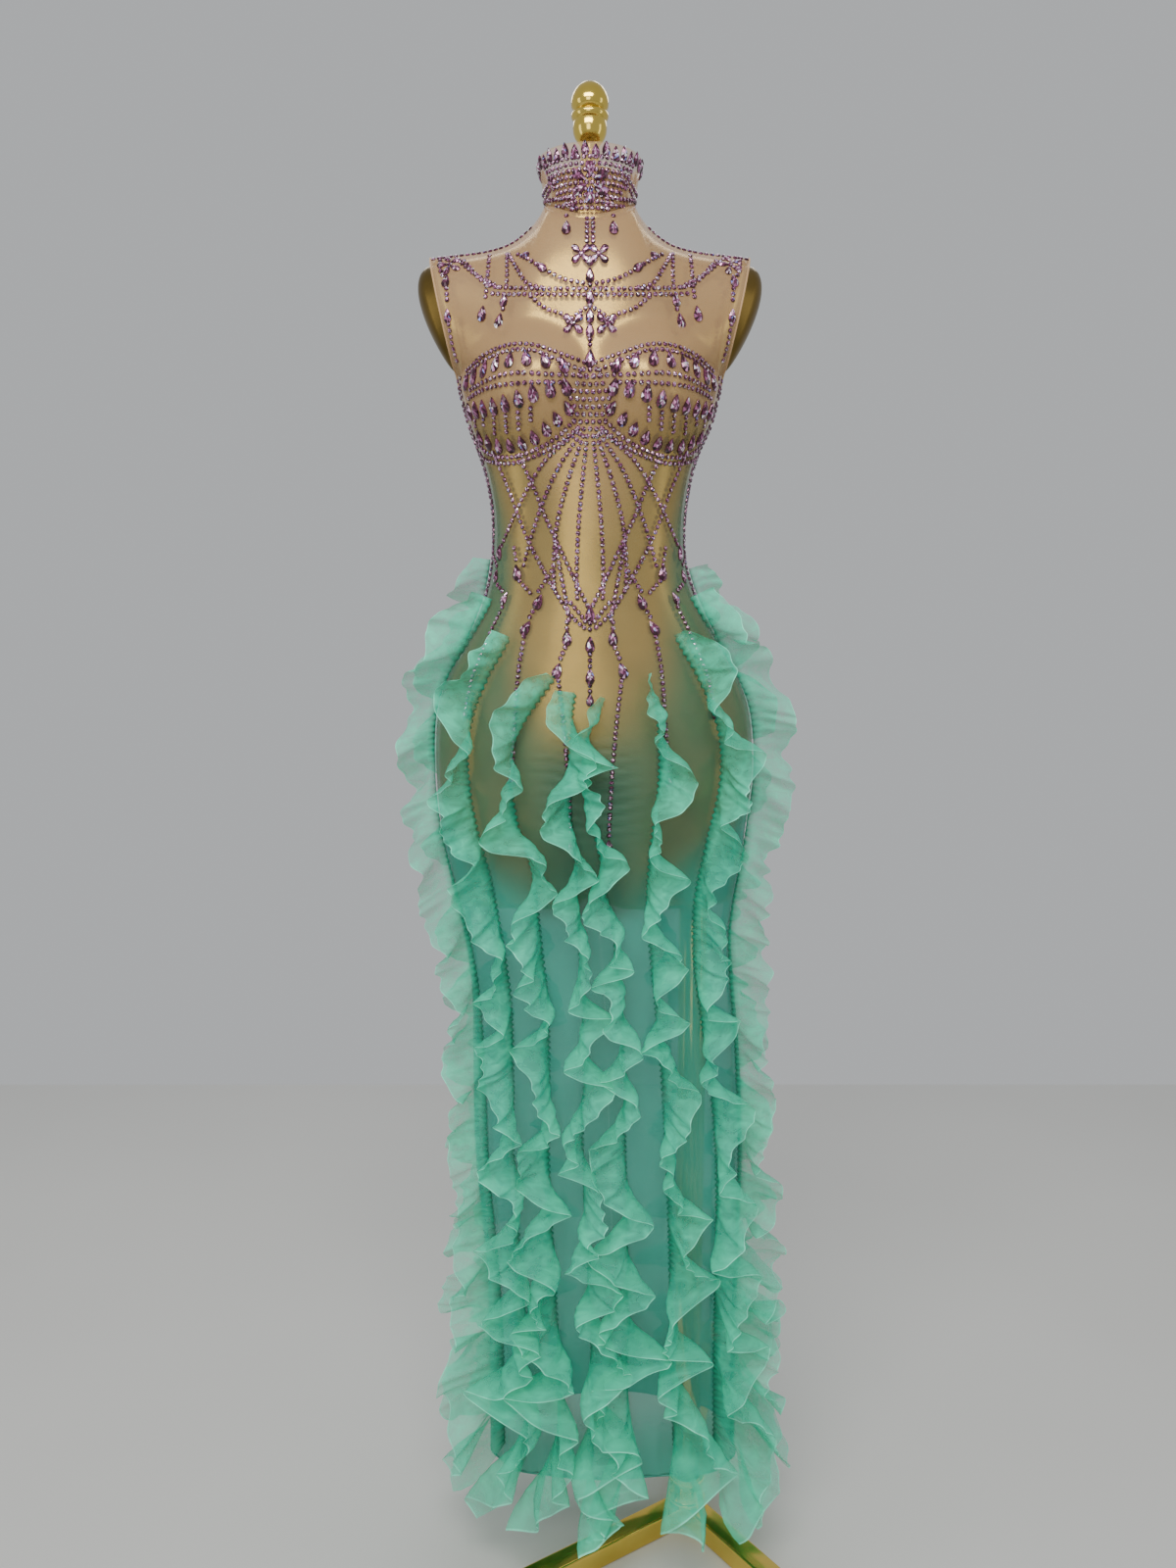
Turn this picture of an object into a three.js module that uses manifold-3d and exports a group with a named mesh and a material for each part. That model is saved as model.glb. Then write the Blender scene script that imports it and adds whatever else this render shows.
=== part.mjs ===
// A sleeveless high-neck stage dress of stretch net, set with large pear stones and trimmed with
// vertical organza frills, on the limbless dress form and three-legged stand that it rests on.
// Millimetres, +Z up. The origin is the centre of the hub's underside on the floor, and the
// front of the dress faces -Y, so +X is the wearer's left.
import * as THREE from 'three';
import Module from 'manifold-3d';
import { mergeVertices } from 'three/addons/utils/BufferGeometryUtils.js';

const wasm = await Module();
wasm.setup();
const { degToRad, lerp, smoothstep, clamp } = THREE.MathUtils;
const dress = new THREE.Group();

// ------------------------------------------------------------------ driving dimensions
const NET = 1.2;              // wall of the stretch net
const FRILL = 1.0;            // wall of the organza
const SEAM = 0.4;             // between pieces that are sewn to each other
const TORSO_X = -119;         // the stand's pole enters one side of the form
const CHEST_Z = 1340;         // level rings below this, sloping ones above
const HEM = { front: 112, side: 92 };
const NECK = { half: 47, depth: 50, front: 1508, side: 1528, back: 1534, angle: 45 };
const SHOULDER = { half: 170, height: 1480, rise: 48, fall: 28, tip: 3 };
const ARMHOLE = { bottom: 1358, half: 45 };
const COLLAR = { half: 55, depth: 57, top: 1576, gap: 0.6 };
const CUP = { apart: 69, height: 1336, wide: 73, tall: 66, out: 30 };
const FOLD = { depth: 5, top: 760, full: 480 };

// Rings of the body, one row a height: centre across, half width, depth to front and back, and
// the power of the outline (2 is an ellipse, more is squarer).
const RINGS = [
  { height: 1340, centre: -119, half: 141, front: 86, back: 92, power: 2.3 },
  { height: 1302, centre: -119, half: 131, front: 84, back: 90, power: 2.3 },
  { height: 1273, centre: -120, half: 119, front: 82, back: 86, power: 2.2 },
  { height: 1240, centre: -120, half: 110, front: 79, back: 82, power: 2.2 },
  { height: 1200, centre: -120, half: 105, front: 78, back: 80, power: 2.2 },
  { height: 1155, centre: -120, half: 107, front: 80, back: 82, power: 2.2 },
  { height: 1117, centre: -118, half: 118, front: 85, back: 89, power: 2.2 },
  { height: 1067, centre: -116, half: 143, front: 93, back: 103, power: 2.2 },
  { height: 1037, centre: -116, half: 160, front: 98, back: 112, power: 2.2 },
  { height: 994, centre: -115, half: 174, front: 103, back: 120, power: 2.2 },
  { height: 930, centre: -114, half: 178, front: 105, back: 124, power: 2.2 },
  { height: 868, centre: -115, half: 173, front: 103, back: 118, power: 2.2 },
  { height: 821, centre: -114, half: 167, front: 100, back: 110, power: 2.2 },
  { height: 782, centre: -113, half: 160, front: 97, back: 104, power: 2.3 },
  { height: 740, centre: -110, half: 153, front: 93, back: 97, power: 2.4 },
  { height: 680, centre: -104, half: 151, front: 89, back: 92, power: 2.4 },
  { height: 600, centre: -99, half: 153, front: 87, back: 88, power: 2.4 },
  { height: 470, centre: -95, half: 154, front: 85, back: 85, power: 2.4 },
  { height: 335, centre: -91, half: 147, front: 83, back: 82, power: 2.4 },
  { height: 250, centre: -90, half: 145, front: 81, back: 80, power: 2.4 },
  { height: 90, centre: -89, half: 146, front: 80, back: 78, power: 2.4 },
];

// ------------------------------------------------------------------ the body's surface
// A smooth value between the rows of a table, rows in falling height.
function between(rows, key, height) {
  const last = rows.length - 2;
  const low = rows.findIndex((row, index) => index > last || height >= rows[index + 1].height);
  const index = clamp(low, 0, last);
  const [a, b] = [rows[index], rows[index + 1]];
  const before = rows[Math.max(index - 1, 0)];
  const after = rows[Math.min(index + 2, rows.length - 1)];
  const span = b.height - a.height;
  const share = clamp((height - a.height) / span, 0, 1);
  const startSlope = (b[key] - before[key]) / (b.height - before.height) * span;
  const endSlope = (after[key] - a[key]) / (after.height - a.height) * span;
  const [square, cube] = [share ** 2, share ** 3];
  return a[key] * (2 * cube - 3 * square + 1) + startSlope * (cube - 2 * square + share)
    + b[key] * (3 * square - 2 * cube) + endSlope * (cube - square);
}

// The line where the body ends above: round the neck, then out along the shoulder. The angle
// runs from 0 at the front through 90 at the side to 180 at the back, negative towards -X.
function topLine(angle) {
  const side = Math.sign(angle);
  const isBack = Math.abs(angle) > 90;
  const fold = isBack ? 180 - Math.abs(angle) : Math.abs(angle);
  if (fold <= NECK.angle) {
    const turn = degToRad(fold / NECK.angle * 90);
    const height = lerp(isBack ? NECK.back : NECK.front, NECK.side, Math.sin(turn) ** 2);
    const depth = NECK.depth * Math.cos(turn) * (isBack ? 1 : -1);
    return new THREE.Vector3(TORSO_X + side * NECK.half * Math.sin(turn), depth, height);
  }
  const share = (fold - NECK.angle) / (90 - NECK.angle);
  const out = lerp(NECK.half, SHOULDER.half, share);
  const slope = SHOULDER.rise * Math.exp((NECK.half - out) / SHOULDER.fall);
  const height = SHOULDER.height + slope - SHOULDER.tip * share ** 6;
  return new THREE.Vector3(TORSO_X + side * out, 0, height);
}

// How far the cloth stands out over the bust: two cups and the stretch of net between them.
function bustRise(across, height) {
  const cup = [-1, 1].map((side) => {
    const far = ((across - side * CUP.apart) / CUP.wide) ** 2 + ((height - CUP.height) / CUP.tall) ** 2;
    return Math.max(1 - far, 0) ** 1.4;
  });
  const web = Math.exp(-((across / 34) ** 2) - ((height - CUP.height - 10) / 46) ** 2);
  return CUP.out * (cup[0] + cup[1] + 0.3 * web);
}

// Soft upright folds of the skirt below the form.
function foldOut(angle, height) {
  const turn = degToRad(angle);
  const wave = 0.6 * Math.cos(8 * turn + 0.6) + 0.4 * Math.cos(5 * turn + 2);
  return FOLD.depth * wave * (1 - smoothstep(height, FOLD.full, FOLD.top));
}

// A point of the body. The level runs from 0 at the top line to 1 at the chest and 2 at the hem.
// hole is the half width of the flat or open side, as a function of height, and folds their share.
function bodyPoint(angle, level, hole, folds) {
  const turn = degToRad(angle);
  const [across, along] = [Math.sin(turn), Math.cos(turn)];
  const rise = Math.PI / 2 * Math.max(1 - level, 0);
  const [up, stay] = [Math.sin(rise), Math.cos(rise)];
  const hem = lerp(HEM.side, HEM.front, Math.abs(along));
  const ringHeight = level < 1 ? CHEST_Z : lerp(CHEST_Z, hem, level - 1);
  const ring = (key) => between(RINGS, key, ringHeight);
  const power = 2 / ring('power');
  const alongShare = Math.abs(along) ** power;
  const facing = along > 0 ? -1 : 1;
  const out = 1 + foldOut(angle, ringHeight) * folds / ring('half');
  const point = new THREE.Vector3(
    ring('centre') + out * ring('half') * Math.sign(across) * Math.abs(across) ** power,
    out * facing * ring(along > 0 ? 'front' : 'back') * alongShare,
    ringHeight,
  );
  if (level < 1) {
    const top = topLine(angle);
    point.set(lerp(point.x, top.x, up), lerp(top.y, point.y, stay), lerp(CHEST_Z, top.z, up));
  }
  const sideHeight = level < 1 ? lerp(CHEST_Z, SHOULDER.height - SHOULDER.tip, up) : ringHeight;
  point.y += facing * hole(sideHeight) * (1 - alongShare);
  if (along > 0) point.y -= bustRise(point.x - TORSO_X, point.z) * Math.min(alongShare * 3, 1);
  return point;
}

// The armhole is an oval between its underarm point and the shoulder tip.
function armhole(height) {
  const top = SHOULDER.height - SHOULDER.tip;
  const middle = (ARMHOLE.bottom + top) / 2;
  const share = (height - middle) / (top - middle);
  return ARMHOLE.half * Math.sqrt(Math.max(1 - share ** 2, 0));
}

const skin = (angle, level) => bodyPoint(angle, level, armhole, 1);

// The direction out of a surface at one of its points, measured on that point's own half.
const BACK_EDGE = 90.001;
function outward(surface, angle, level) {
  const step = 0.005;
  const above = surface(angle, Math.max(level - step, 0));
  const below = surface(angle, level + step);
  const isBack = Math.abs(angle) > 90;
  const isOpen = Math.abs(surface(90, level).y) > SEAM;
  const onHalf = (turn) => (!isOpen ? turn : isBack
    ? Math.sign(angle) * Math.max(Math.abs(turn), BACK_EDGE)
    : clamp(turn, -90, 90));
  const left = surface(onHalf(angle - 1), level);
  const right = surface(onHalf(angle + 1), level);
  return new THREE.Vector3().crossVectors(below.sub(above), right.sub(left)).normalize();
}

const levelAt = (height) => 1 + (CHEST_Z - height) / (CHEST_Z - HEM.side);

// ------------------------------------------------------------------ closed solids
// A closed body of shared points and triangles. Points in one place become one point, and
// triangles that close up are left out.
function solid(points, triangles) {
  const places = new Map();
  const keys = points.map((point) => point.toArray().map((value) => value.toFixed(3)).join());
  points.forEach((point, index) => places.has(keys[index]) || places.set(keys[index], point));
  const corners = triangles
    .filter((triangle) => new Set(triangle.map((index) => keys[index])).size === 3)
    .flatMap((triangle) => triangle.flatMap((index) => places.get(keys[index]).toArray()));
  const geometry = new THREE.BufferGeometry();
  geometry.setAttribute('position', new THREE.Float32BufferAttribute(corners, 3));
  geometry.computeVertexNormals();
  return geometry;
}

function addMesh(name, geometry, material) {
  const mesh = new THREE.Mesh(geometry, material.clone());
  mesh.name = name;
  dress.add(mesh);
  return mesh;
}

// Two triangles for a cell whose corners run a, b down one side and d, c down the next.
const cell = (a, b, c, d) => [[a, b, d], [b, c, d]];
const turnedCell = (a, b, c, d) => cell(b, c, d, a);

// A pear stone seen from outside: six places round its edge as shares of its half width and
// half height, anticlockwise from the right of its point.
const PEAR = [
  { right: 0.62, up: 0.25 },
  { right: 0, up: 1 },
  { right: -0.62, up: 0.25 },
  { right: -0.72, up: -0.6 },
  { right: 0, up: -1 },
  { right: 0.72, up: -0.6 },
];
const STONE = { half: 5.5, tall: 8.5, high: 3.2 };

// A stone raised in the middle of a cell: its edge is set into the cell, and a peak covers it.
// Corners run a, b down the left and d, c down the right.
function raiseStone(points, triangles, [a, b, c, d], stone) {
  const [pa, pb, pc, pd] = [a, b, c, d].map((index) => points[index]);
  const at = (right, up) => new THREE.Vector3()
    .addScaledVector(pa, (1 - right) * up)
    .addScaledVector(pb, (1 - right) * (1 - up))
    .addScaledVector(pc, right * (1 - up))
    .addScaledVector(pd, right * up);
  const wide = at(1, 0.5).distanceTo(at(0, 0.5));
  const tall = at(0.5, 1).distanceTo(at(0.5, 0));
  const reach = [Math.min(stone.half / wide, 0.4), Math.min(stone.tall / tall, 0.42)];
  const first = points.length;
  PEAR.forEach((place) => points.push(at(0.5 + place.right * reach[0], 0.5 + place.up * reach[1])));
  const down = new THREE.Vector3().subVectors(at(0.5, 0), at(0.5, 1));
  const across = new THREE.Vector3().subVectors(at(1, 0.5), at(0, 0.5));
  const out = down.cross(across).normalize();
  points.push(at(0.5, 0.5 - reach[1] * 0.25).addScaledVector(out, stone.high));
  const [e, f, g, h, i, j, peak] = [0, 1, 2, 3, 4, 5, 6].map((step) => first + step);
  triangles.push([d, a, f], [a, g, f], [a, b, g], [b, h, g], [b, i, h]);
  triangles.push([b, c, i], [c, j, i], [c, d, j], [d, e, j], [d, f, e]);
  [e, f, g, h, i, j].forEach((edge, step, ring) => triangles.push([edge, ring[(step + 1) % 6], peak]));
}

// A cloth wall over rows and columns of points, with stones raised in chosen cells of its
// outside. Rows run down and columns towards +X as seen from the front.
function clothWall(rows, columns, pointAt, wall, stoneAt = () => null) {
  const [outside, inside] = [[], []];
  for (let row = 0; row <= rows; row += 1) {
    for (let column = 0; column <= columns; column += 1) {
      const { point, out } = pointAt(row, column);
      outside.push(point);
      inside.push(point.clone().addScaledVector(out, -wall));
    }
  }
  const points = [...outside, ...inside];
  const depth = outside.length;
  const at = (row, column) => row * (columns + 1) + column;
  const triangles = [];
  for (let row = 0; row < rows; row += 1) {
    for (let column = 0; column < columns; column += 1) {
      const corners = [at(row, column), at(row + 1, column), at(row + 1, column + 1), at(row, column + 1)];
      const [a, b, c, d] = corners;
      const stone = stoneAt(row, column);
      if (stone) raiseStone(points, triangles, corners, stone);
      else triangles.push(...cell(a, b, c, d));
      triangles.push([a + depth, d + depth, b + depth], [b + depth, d + depth, c + depth]);
    }
  }
  for (let row = 0; row < rows; row += 1) {
    const [top, bottom] = [at(row, 0), at(row + 1, 0)];
    triangles.push(...cell(top + depth, bottom + depth, bottom, top));
    const [highest, lowest] = [at(row, columns), at(row + 1, columns)];
    triangles.push(...cell(highest, lowest, lowest + depth, highest + depth));
  }
  for (let column = 0; column < columns; column += 1) {
    const [left, right] = [at(0, column), at(0, column + 1)];
    triangles.push(...cell(left + depth, left, right, right + depth));
    const [leftEnd, rightEnd] = [at(rows, column), at(rows, column + 1)];
    triangles.push(...cell(leftEnd, leftEnd + depth, rightEnd + depth, rightEnd));
  }
  return solid(points, triangles);
}

// ------------------------------------------------------------------ net panels
const netMaterial = new THREE.MeshStandardMaterial({ color: '#8fae98', roughness: 0.8 });
const skirtMaterial = new THREE.MeshStandardMaterial({ color: '#4f9f92', roughness: 0.8 });

// Rows of every panel: up over the yoke, close together on the bodice and wider on the skirt.
const YOKE_LEVELS = [0, 0.08, 0.2, 0.35, 0.5, 0.65, 0.8, 0.92, 1];
const BODICE = { bottom: 1000, step: 22 };
const SKIRT_STEP = 60;
const levels = [...YOKE_LEVELS];
for (let height = CHEST_Z - BODICE.step; height > BODICE.bottom; height -= BODICE.step) {
  levels.push(levelAt(height));
}
const skirtRows = Math.round((BODICE.bottom - HEM.side) / SKIRT_STEP);
for (let row = 0; row <= skirtRows; row += 1) {
  levels.push(lerp(levelAt(BODICE.bottom), 2, row / skirtRows));
}
const FRONT_COLUMNS = 16;
const BACK_COLUMNS = 8;

// A point on the flat cells of a panel, and the direction out of it there.
function onPanel(angle, level) {
  const row = clamp(levels.findIndex((value) => value > level) - 1, 0, levels.length - 2);
  const isBack = Math.abs(angle) > 90;
  const step = isBack ? 90 / BACK_COLUMNS : 180 / FRONT_COLUMNS;
  const edge = isBack ? Math.sign(angle) * BACK_EDGE : -90;
  const toward = Math.sign(angle) || 1;
  const stride = isBack ? toward * step : step;
  const column = Math.min(Math.floor((angle - edge) / stride), (isBack ? 90 : 180) / step - 1);
  const across = (angle - edge) / stride - column;
  const down = (level - levels[row]) / (levels[row + 1] - levels[row]);
  const corner = (side, drop) => skin(edge + (column + side) * stride, levels[row + drop]);
  const upper = corner(0, 0).lerp(corner(1, 0), across);
  const lower = corner(0, 1).lerp(corner(1, 1), across);
  const point = upper.lerp(lower, down);
  point.y += (isBack ? 1 : -1) * SEAM / 2;
  return { point, out: outward(skin, angle, level) };
}
const rowNear = (height) => levels.findIndex((level) => level >= levelAt(height)) - 1;

// A panel between two angles. The front and back panels stand half a seam either way.
function netPanel(name, columns, angleAt, facing, stoneAt) {
  const pointAt = (row, column) => {
    const level = levels[row];
    const angle = angleAt(column, level);
    const point = skin(angle, level);
    const out = outward(skin, angle, level);
    point.y += facing * SEAM / 2;
    return { point, out };
  };
  const geometry = clothWall(levels.length - 1, columns, pointAt, NET, stoneAt);
  return addMesh(name, geometry, facing < 0 ? netMaterial : skirtMaterial);
}

// Where the front's large pears lie: a row of cells by its height, and the cells on each half
// counted out from the centre line.
const PEAR_ROWS = [
  { height: 1372, from: 1, to: 6 },
  { height: 1330, from: 1, to: 6 },
  { height: 1290, from: 1, to: 5 },
  { height: 1430, from: 2, to: 3 },
  { height: 1455, from: 6, to: 6 },
  { height: 1400, from: 0, to: 0 },
  { height: 1150, from: 3, to: 3 },
  { height: 1110, from: 2, to: 5 },
  { height: 1090, from: 0, to: 0 },
  { height: 1050, from: 0, to: 2 },
];
const pearCells = new Set(PEAR_ROWS.flatMap(({ height, from, to }) => {
  const row = height > CHEST_Z
    ? levels.findIndex((level) => skin(0, level).z < height) - 1
    : rowNear(height);
  const cells = [];
  for (let step = from; step <= to; step += 1) {
    cells.push(`${row},${FRONT_COLUMNS / 2 + step}`, `${row},${FRONT_COLUMNS / 2 - 1 - step}`);
  }
  return cells;
}));
const frontAngle = (column) => lerp(-90, 90, column / FRONT_COLUMNS);
const frontStone = (row, column) => (pearCells.has(`${row},${column}`) ? STONE : null);
netPanel('front_panel', FRONT_COLUMNS, frontAngle, -1, frontStone);

// The two back halves stop short of the centre line, further along the zip than below it.
const ZIP = { bottom: 1010, wide: 6, thick: 1.6, gap: 1.0, lift: 0.6, neckLevel: 0.14 };
function backEdge(level) {
  const height = skin(180, level).z;
  const gap = height > ZIP.bottom ? ZIP.gap : SEAM / 2;
  const half = level < 1 ? NECK.half : between(RINGS, 'half', height);
  const power = level < 1 ? 1 : between(RINGS, 'power', height) / 2;
  const angle = THREE.MathUtils.radToDeg(Math.asin((gap / half) ** power));
  return 180 - angle * (level < 1 ? lerp(NECK.angle / 90, 1, level) : 1);
}
netPanel('back_panel_left', BACK_COLUMNS,
  (column, level) => lerp(BACK_EDGE, backEdge(level), column / BACK_COLUMNS), 1);
netPanel('back_panel_right', BACK_COLUMNS,
  (column, level) => lerp(-backEdge(level), -BACK_EDGE, column / BACK_COLUMNS), 1);

// ------------------------------------------------------------------ stand collar
const collarMaterial = new THREE.MeshStandardMaterial({ color: '#b08ab0', roughness: 0.5 });
const COLLAR_COLUMNS = 24;
const COLLAR_ROWS = 3;

// The height of the panels' straight-edged top between the columns of their cells.
function neckHeight(turn) {
  const isBack = Math.abs(turn) > 90;
  const fold = isBack ? 180 - Math.abs(turn) : Math.abs(turn);
  const stride = (isBack ? 90 / BACK_COLUMNS : 180 / FRONT_COLUMNS) * 90 / NECK.angle;
  const column = Math.min(Math.floor(fold / stride), 90 / stride - 1);
  const [low, high] = [column, column + 1].map((edge) => lerp(isBack ? NECK.back : NECK.front,
    NECK.side, Math.sin(degToRad(edge * stride)) ** 2));
  return lerp(low, high, fold / stride - column);
}

// A point of the collar's outside: the turn is 0 at the front, and the share 0 at its base.
function collarPoint(turn, share) {
  const angle = degToRad(turn);
  const half = lerp(NECK.half, COLLAR.half, share);
  const depth = lerp(NECK.depth, COLLAR.depth, share);
  const base = neckHeight(turn) + COLLAR.gap;
  const point = new THREE.Vector3(TORSO_X + half * Math.sin(angle), -depth * Math.cos(angle), 0);
  point.z = lerp(base, COLLAR.top, share);
  return point;
}
function collarAt(row, column) {
  const closing = THREE.MathUtils.radToDeg(ZIP.gap / NECK.half);
  const turn = lerp(closing - 180, 180 - closing, column / COLLAR_COLUMNS);
  const share = 1 - row / COLLAR_ROWS;
  const angle = degToRad(turn);
  const out = new THREE.Vector3(Math.sin(angle), -Math.cos(angle), 0);
  return { point: collarPoint(turn, share), out };
}
const COLLAR_STONE = { half: 4.6, tall: 7.5, high: 3 };
function collarStone(row, column) {
  const fromFront = Math.abs(column - (COLLAR_COLUMNS - 1) / 2);
  return row === 0 || fromFront < 2 ? COLLAR_STONE : null;
}
addMesh('collar', clothWall(COLLAR_ROWS, COLLAR_COLUMNS, collarAt, NET, collarStone), collarMaterial);

// ------------------------------------------------------------------ organza frills
// Gathered strips sewn on edge down the skirt, each leaning away from the centre front. A row
// gives the seam's angle at the frill's start, hip, thigh, knee and hem, and where it starts.
// Each row makes a strip on both halves but for the pair at the centre, which are not alike.
const frillMaterial = new THREE.MeshStandardMaterial({ color: '#7fd8b4', roughness: 0.7 });
const SEAM_HEIGHTS = { hip: 945, thigh: 770, knee: 480, hem: 118 };
const FRILLS = [
  { name: 'centre_left', side: -1, top: 1014, start: 5, hip: 7, thigh: 5, knee: 8, hem: 7 },
  { name: 'centre_right', side: 1, top: 1008, start: 3, hip: -3, thigh: 4, knee: 4, hem: 3 },
  { name: 'inner_left', side: -1, top: 1030, start: 12, hip: 27, thigh: 19, knee: 22, hem: 22 },
  { name: 'inner_right', side: 1, top: 1032, start: 19, hip: 20, thigh: 17, knee: 20, hem: 24 },
  { name: 'front_left', side: -1, top: 1072, start: 36, hip: 47, thigh: 38, knee: 40, hem: 40 },
  { name: 'front_right', side: 1, top: 1074, start: 36, hip: 47, thigh: 38, knee: 44, hem: 46 },
  { name: 'side_left', side: -1, top: 1114, start: 60, hip: 84, thigh: 66, knee: 64, hem: 62 },
  { name: 'side_right', side: 1, top: 1116, start: 62, hip: 84, thigh: 70, knee: 72, hem: 70 },
  { name: 'side_back_left', side: -1, top: 1160, start: 84, hip: 112, thigh: 108, knee: 102, hem: 100 },
  { name: 'side_back_right', side: 1, top: 1150, start: 84, hip: 112, thigh: 108, knee: 104, hem: 102 },
  { name: 'back_left', side: -1, top: 1110, start: 118, hip: 134, thigh: 132, knee: 128, hem: 126 },
  { name: 'back_right', side: 1, top: 1114, start: 118, hip: 134, thigh: 132, knee: 130, hem: 128 },
  { name: 'inner_back_left', side: -1, top: 1050, start: 146, hip: 156, thigh: 154, knee: 152, hem: 150 },
  { name: 'inner_back_right', side: 1, top: 1046, start: 146, hip: 156, thigh: 154, knee: 152, hem: 152 },
];
const WAVE = { pitch: 80, steps: 4, lean: 16, swing: 60, hang: 30, fall: 9, drift: 0.8, beat: 61, folds: 4 };
const ROOT = { lift: 1.4, ease: 2, easeLength: 200 };
const FRILL_WIDTH = { start: 14, full: 42, hem: 54, taper: 55, widenFrom: 640, droop: 40, droopFrom: 110 };

// Where a frill's seam lies at a height, as an angle round the body.
function seamAngle(frill, height) {
  const rows = [{ height: frill.top, angle: frill.start }];
  Object.entries(SEAM_HEIGHTS).forEach(([place, at]) => rows.push({ height: at, angle: frill[place] }));
  return frill.side * between(rows, 'angle', height);
}

function frillStrip(frill) {
  const length = frill.top - SEAM_HEIGHTS.hem;
  const waves = Math.round(length / WAVE.pitch);
  const steps = waves * WAVE.steps;
  const sections = [];
  for (let step = 0; step <= steps; step += 1) {
    const height = lerp(frill.top, SEAM_HEIGHTS.hem, step / steps);
    const level = levelAt(height);
    const { point: root, out } = onPanel(seamAngle(frill, height), level);
    const early = 1 - smoothstep(frill.top - height, 0, ROOT.easeLength);
    root.addScaledVector(out, ROOT.lift + ROOT.ease * early);
    const [above, below] = [height + 5, height - 5]
      .map((near) => skin(seamAngle(frill, near), levelAt(near)));
    const down = below.sub(above).normalize();
    const aside = new THREE.Vector3().crossVectors(out, down).multiplyScalar(frill.side).normalize();
    const phase = 2 * Math.PI * height / WAVE.pitch + WAVE.drift * Math.sin(height / WAVE.beat + 1);
    const taper = smoothstep(frill.top - height, 0, FRILL_WIDTH.taper);
    const grow = 1 - smoothstep(height, SEAM_HEIGHTS.hem, FRILL_WIDTH.widenFrom);
    const width = lerp(FRILL_WIDTH.start, lerp(FRILL_WIDTH.full, FRILL_WIDTH.hem, grow), taper);
    // The strip turns over as it leaves its seam, so its folds hang down towards the free edge.
    const edge = root.clone();
    for (let fold = 0; fold < WAVE.folds; fold += 1) {
      const share = (fold + 0.5) / WAVE.folds;
      const turn = phase + 2 * Math.PI * WAVE.hang * share / WAVE.pitch;
      const lean = degToRad(WAVE.lean + frill.side * WAVE.swing * (0.55 + 0.6 * share) * Math.cos(turn));
      edge.addScaledVector(out, Math.cos(lean) * width / WAVE.folds);
      edge.addScaledVector(aside, Math.sin(lean) * width / WAVE.folds);
    }
    const stand = edge.clone().sub(root).normalize();
    const droop = 1 - smoothstep(height - SEAM_HEIGHTS.hem, 0, FRILL_WIDTH.droopFrom);
    edge.addScaledVector(down, WAVE.fall * taper + FRILL_WIDTH.droop * droop);
    const across = new THREE.Vector3().crossVectors(down, stand).normalize();
    const half = across.multiplyScalar(FRILL / 2);
    sections.push([
      root.clone().add(half), edge.clone().add(half), edge.clone().sub(half), root.clone().sub(half),
    ]);
  }
  // The two faces of the strip are cut along the same diagonal, so a twisted cell keeps its wall.
  const points = sections.flat();
  const triangles = [];
  for (let step = 0; step < steps; step += 1) {
    for (let corner = 0; corner < 4; corner += 1) {
      const next = (corner + 1) % 4;
      const [a, d] = [step * 4 + corner, step * 4 + next];
      triangles.push(...(corner === 2 ? turnedCell : cell)(a, a + 4, d + 4, d));
    }
  }
  const end = steps * 4;
  triangles.push([0, 1, 2], [0, 2, 3], [end, end + 2, end + 1], [end, end + 3, end + 2]);
  return solid(points, triangles);
}
FRILLS.forEach((frill) => addMesh(`frill_${frill.name}`, frillStrip(frill), frillMaterial));

// ------------------------------------------------------------------ dress form
const formMaterial = new THREE.MeshStandardMaterial({ color: '#c59a4a', roughness: 0.25, metalness: 0.7 });
const FORM = { inset: 3.8, bottom: 776, side: 1.5, armholeEase: 10, edge: 14 };
const FORM_NECK = { top: 1560, radius: 41, edge: 4 };
const ARM_CAP = { out: 25, top: 1472, bottom: 1358, skew: 0.35, places: [-0.7, 0, 0.7], flat: 0.35 };
const VALLEY = { top: 860, half: 26, deep: 17, arch: 16 };
const HOLLOW = { wall: 9, bottom: 806, hole: 8, plate: 6, neck: 33, turns: 16, rows: 13 };
const HOLLOW_SHOULDERS = [
  { height: 1505, half: 33, depth: 33 },
  { height: 1470, half: 62, depth: 38 },
  { height: 1435, half: 104, depth: 52 },
  { height: 1390, half: 122, depth: 66 },
];

const formSide = (height) => Math.max(armhole(height) - FORM.armholeEase, FORM.side);
const formBody = (angle, level) => bodyPoint(angle, level, formSide, 0);

// The form lies inside the net by its inset, with a shallow valley between its two legs' tops.
function formPoint(angle, level) {
  if (level === 0) {
    const top = topLine(Math.round(angle * 100) / 100);
    const neck = new THREE.Vector3(TORSO_X, 0, top.z);
    if (top.distanceTo(neck) <= NECK.depth + SEAM) top.lerp(neck, FORM.inset / NECK.half);
    top.z -= FORM.inset;
    return top;
  }
  const point = formBody(angle, level).addScaledVector(outward(formBody, angle, level), -FORM.inset);
  const limit = Math.abs(formBody(90, level).x - TORSO_X) - FORM.inset;
  if (level < 1) point.x = clamp(point.x, TORSO_X - limit, TORSO_X + limit);
  const low = 1 - smoothstep(point.z, FORM.bottom, VALLEY.top);
  const middle = Math.exp(-(((point.x - TORSO_X) / VALLEY.half) ** 2));
  point.y -= Math.sign(point.y) * VALLEY.deep * low * middle;
  point.z += VALLEY.arch * low ** 2 * middle;
  return point;
}

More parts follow.
